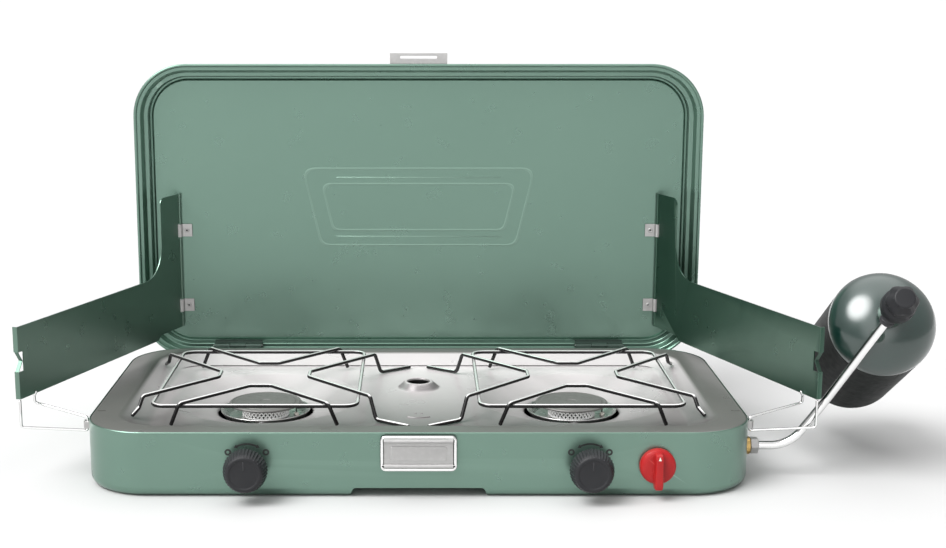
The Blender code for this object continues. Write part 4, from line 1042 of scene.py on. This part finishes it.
def make_supply():
    port = joint_point("supply_swivel")
    inlet = on_bottle(-64.0)
    knee = Vector((384.0, -103.0, 74.5))
    direction = (inlet - knee).normalized()
    start = Vector((SIDE - 4.0, port.y, port.z))
    path = rounded_path([start, (352.0, port.y, port.z), knee, inlet - direction * 22.3], 34.0, 16)
    piece("supply_tube", sweep(path, 4.0, 32, inner=2.8), "tube_chrome", "gas_supply", ["regulator_tube"],
          angle=60)

    nut = lathe([(0, 5.0), (0, 7.2), (0.7, 8.2), (7.3, 8.2), (8.0, 7.2), (8.0, 5.0)],
                (SIDE + 4.4, port.y, port.z), (1, 0, 0), 6)
    piece("supply_nut", nut, "bright_steel", "gas_supply", ["inlet_nut"], bevel=0.35, angle=20)

    body = finish_mesh("body", lathe(rounded([
        (43.0, 0), (43.0, 11.5), (54.0, 11.5), (57.0, 15.5), (66.0, 15.5), (70.0, 13.0), (72.0, 13.0),
        (72.0, 0),
    ], 1.2), SHOULDER, -AXIS, 72), 40)
    carve(body, drill(inlet, -direction, 22.0, 6.4, 48), "UNION", 40.0)
    for step in (12.0, 15.0, 18.0):
        collar = lathe([(0, 0), (0, 6.9), (0.4, 7.2), (1.4, 7.2), (1.8, 6.9), (1.8, 0)],
                       inlet - direction * step, -direction, 48)
        carve(body, collar, "UNION", 40.0)
    carve(body, drill(on_bottle(-38.0), -AXIS, 14.0, 7.8, 48), angle=40.0)
    piece("regulator_housing", body, "dark_plastic", "gas_supply", ["regulator_body"], angle=40,
          weighted=True)

    def lobed(turn, radius):
        return radius - 1.5 * (0.5 - 0.5 * math.cos(6 * turn)) if radius > 10.0 else radius

    cap = rounded([(72.3, 0), (72.3, 14.6), (76.0, 15.2), (79.0, 14.4), (84.6, 10.2), (86.4, 9.4),
                   (87.0, 8.4), (87.0, 0)], 0.8)
    piece("regulator_dial", lathe(cap, SHOULDER, -AXIS, 144, reach=lobed), "dark_plastic", "gas_supply",
          ["regulator_cap"], angle=40)


def dome(radius, height, neck, steps=28):
    last = math.acos(neck / radius)
    turns = [last * step / steps for step in range(steps + 1)]
    return [(-height * math.sin(turn), radius * math.cos(turn)) for turn in turns]


def make_bottle():
    length, neck, height, under = 158.0, 9.0, 32.0, 0.35
    crown = dome(BOTTLE_R, height, neck)
    inner = dome(BOTTLE_R - 1.2, height - 1.2, neck - 2.0)
    body = crown[::-1] + rounded([
        (0.0, BOTTLE_R), (3.0, BOTTLE_R), (3.4, BOTTLE_R - under), (length - 15, BOTTLE_R - under),
        (length - 12, BOTTLE_R - 0.8), (length - 4, BOTTLE_R - 3), (length - 1, BOTTLE_R - 9),
        (length - 5, BOTTLE_R - 17), (length - 9, 0),
    ], 2.5, 6)[1:]
    body += [(length - 10.2, 0), (length - 6.4, BOTTLE_R - 17.4), (length - 3.4, BOTTLE_R - 10.4),
             (length - 12, BOTTLE_R - 1.8)] + inner
    piece("bottle_shell", lathe(body, SHOULDER, AXIS, 128), "bottle_paint", "gas_bottle", ["gas_cylinder"],
          angle=40)
    # The printed paper round the straight part, left plain, and the bead of the dome's seam
    wrap = [(4.4, BOTTLE_R - 0.5), (4.5, BOTTLE_R - 0.05), (length - 16.2, BOTTLE_R - 0.05),
            (length - 16.0, BOTTLE_R - 0.5)]
    piece("bottle_label", lathe(wrap, SHOULDER, AXIS, 128), "bottle_wrap", "gas_bottle")
    seam = [(0.6, BOTTLE_R - 0.6), (1.0, BOTTLE_R - 0.05), (2.2, BOTTLE_R - 0.05), (2.6, BOTTLE_R - 0.6)]
    piece("bottle_seam", lathe(seam, SHOULDER, AXIS, 128), "bottle_paint", "gas_bottle")

    valve = [(32.2, 5.0), (32.2, 11.6), (32.6, 12.0), (35.0, 12.0), (35.5, 11.4), (36.2, 8.0), (37.0, 7.2)]
    for turn in range(5):
        z = 38.0 + turn * 2.0
        valve += [(z, 7.2), (z + 0.5, 6.5), (z + 1.0, 6.5), (z + 1.5, 7.2)]
    valve += [(49.4, 7.2), (50.0, 6.7), (50.0, 5.0)]
    piece("bottle_valve", lathe(valve, SHOULDER, -AXIS, 72), "hinge_steel", "gas_bottle", ["cylinder_valve"],
          angle=30)

    across_side, across_up = across(AXIS)
    turn = math.radians(122.0)
    lean = across_side * math.cos(turn) + across_up * math.sin(turn)
    off_axis = 22.5
    rise = height * math.sqrt(1 - (off_axis / BOTTLE_R) ** 2)
    seat = SHOULDER - AXIS * rise + lean * off_axis
    normal = (-AXIS * rise / height ** 2 + lean * off_axis / BOTTLE_R ** 2).normalized()
    relief = rounded([(0.4, 0), (0.4, 6.6), (1.6, 6.6), (1.8, 4.6), (3.0, 4.2), (3.0, 2.4),
                      (2.4, 2.0), (2.4, 0)], 0.4)
    piece("bottle_relief", lathe(relief, seat, normal, 48), "hinge_steel", "gas_bottle", ["relief_valve"],
          angle=35)


# ---------------------------------------------------------------- the rest of the frame, and the set

def finish_inner_nodes():
    """The inner gas train keeps its CAD shape and gets the same procedural finishes."""
    finishes = {entry["node"]: entry["material_slot"] for entry in frame["record"]["subparts"]}
    for name, node in frame["nodes"].items():
        node.data.materials.clear()
        node.data.materials.append(MATERIALS[finishes[name]])


def lobe(tree, direction, inner, outer, strength, background):
    """Add a soft round light to the world: full inside `inner` degrees and fading out at `outer`."""
    where = tree.nodes.new("ShaderNodeTexCoord")
    dot = tree.nodes.new("ShaderNodeVectorMath")
    dot.operation = "DOT_PRODUCT"
    dot.inputs[1].default_value = Vector(direction).normalized()
    tree.links.new(where.outputs["Generated"], dot.inputs[0])
    fade = tree.nodes.new("ShaderNodeMapRange")
    fade.interpolation_type = "SMOOTHSTEP"
    fade.inputs["From Min"].default_value = math.cos(math.radians(outer))
    fade.inputs["From Max"].default_value = math.cos(math.radians(inner))
    fade.inputs["To Max"].default_value = strength
    tree.links.new(dot.outputs["Value"], fade.inputs["Value"])
    total = tree.nodes.new("ShaderNodeMath")
    total.operation = "ADD"
    tree.links.new(fade.outputs["Result"], total.inputs[0])
    socket = background.inputs["Strength"]
    if socket.is_linked:
        tree.links.new(socket.links[0].from_socket, total.inputs[1])
    tree.links.new(total.outputs["Value"], socket)


def make_set():
    world = bpy.data.worlds.new("studio")
    bpy.context.scene.world = world
    world.use_nodes = True
    tree = world.node_tree
    background = tree.nodes["Background"]
    background.inputs["Color"].default_value = (1.0, 1.0, 1.0, 1.0)
    lobe(tree, (0.0, 0.0, 1.0), 20.0, 95.0, 0.20, background)
    lobe(tree, (-0.15, -1.0, 0.40), 8.0, 34.0, 1.2, background)
    lobe(tree, (0.05, 0.25, 1.0), 15.0, 46.0, 1.3, background)
    lobe(tree, (-0.55, -0.35, 0.80), 9.0, 26.0, 11.5, background)

    floor_finish = Graph("floor_paper", (0.50, 0.50, 0.50), 0.7)
    floor_finish.mix(floor_finish.remap(floor_finish.noise(3.0, 4.0), 0.0, 0.4), (0.52, 0.52, 0.52))
    bm = bmesh.new()
    half = 400.0
    bm.faces.new([bm.verts.new((x * half, y * half, 0.0)) for x, y in ((-1, -1), (1, -1), (1, 1), (-1, 1))])
    mesh = bpy.data.meshes.new("floor")
    bm.to_mesh(mesh)
    bm.free()
    floor = bpy.data.objects.new("floor", mesh)
    floor.data.materials.append(floor_finish.material)
    bpy.context.scene.collection.objects.link(floor)

    data = bpy.data.cameras.new("camera")
    data.lens = 57.96
    data.sensor_width = 36.0
    data.shift_x = 0.0575
    data.shift_y = 0.0151
    data.clip_start, data.clip_end = 0.05, 100.0
    camera = bpy.data.objects.new("camera", data)
    camera.location = (0.0, -1.491, 0.461)
    camera.rotation_euler = (math.radians(78.66), 0.0, 0.0)
    bpy.context.scene.collection.objects.link(camera)
    bpy.context.scene.camera = camera
    bpy.context.scene.view_settings.view_transform = "Standard"


def main():
    finish_inner_nodes()
    for make in (make_case, make_marks, make_tray, make_burners, make_electrodes, make_grates, make_lid,
                 make_strike, make_hinges, make_guards, make_clips, make_stays, make_latch, make_knobs,
                 make_supply, make_bottle, make_set):
        make()


main()
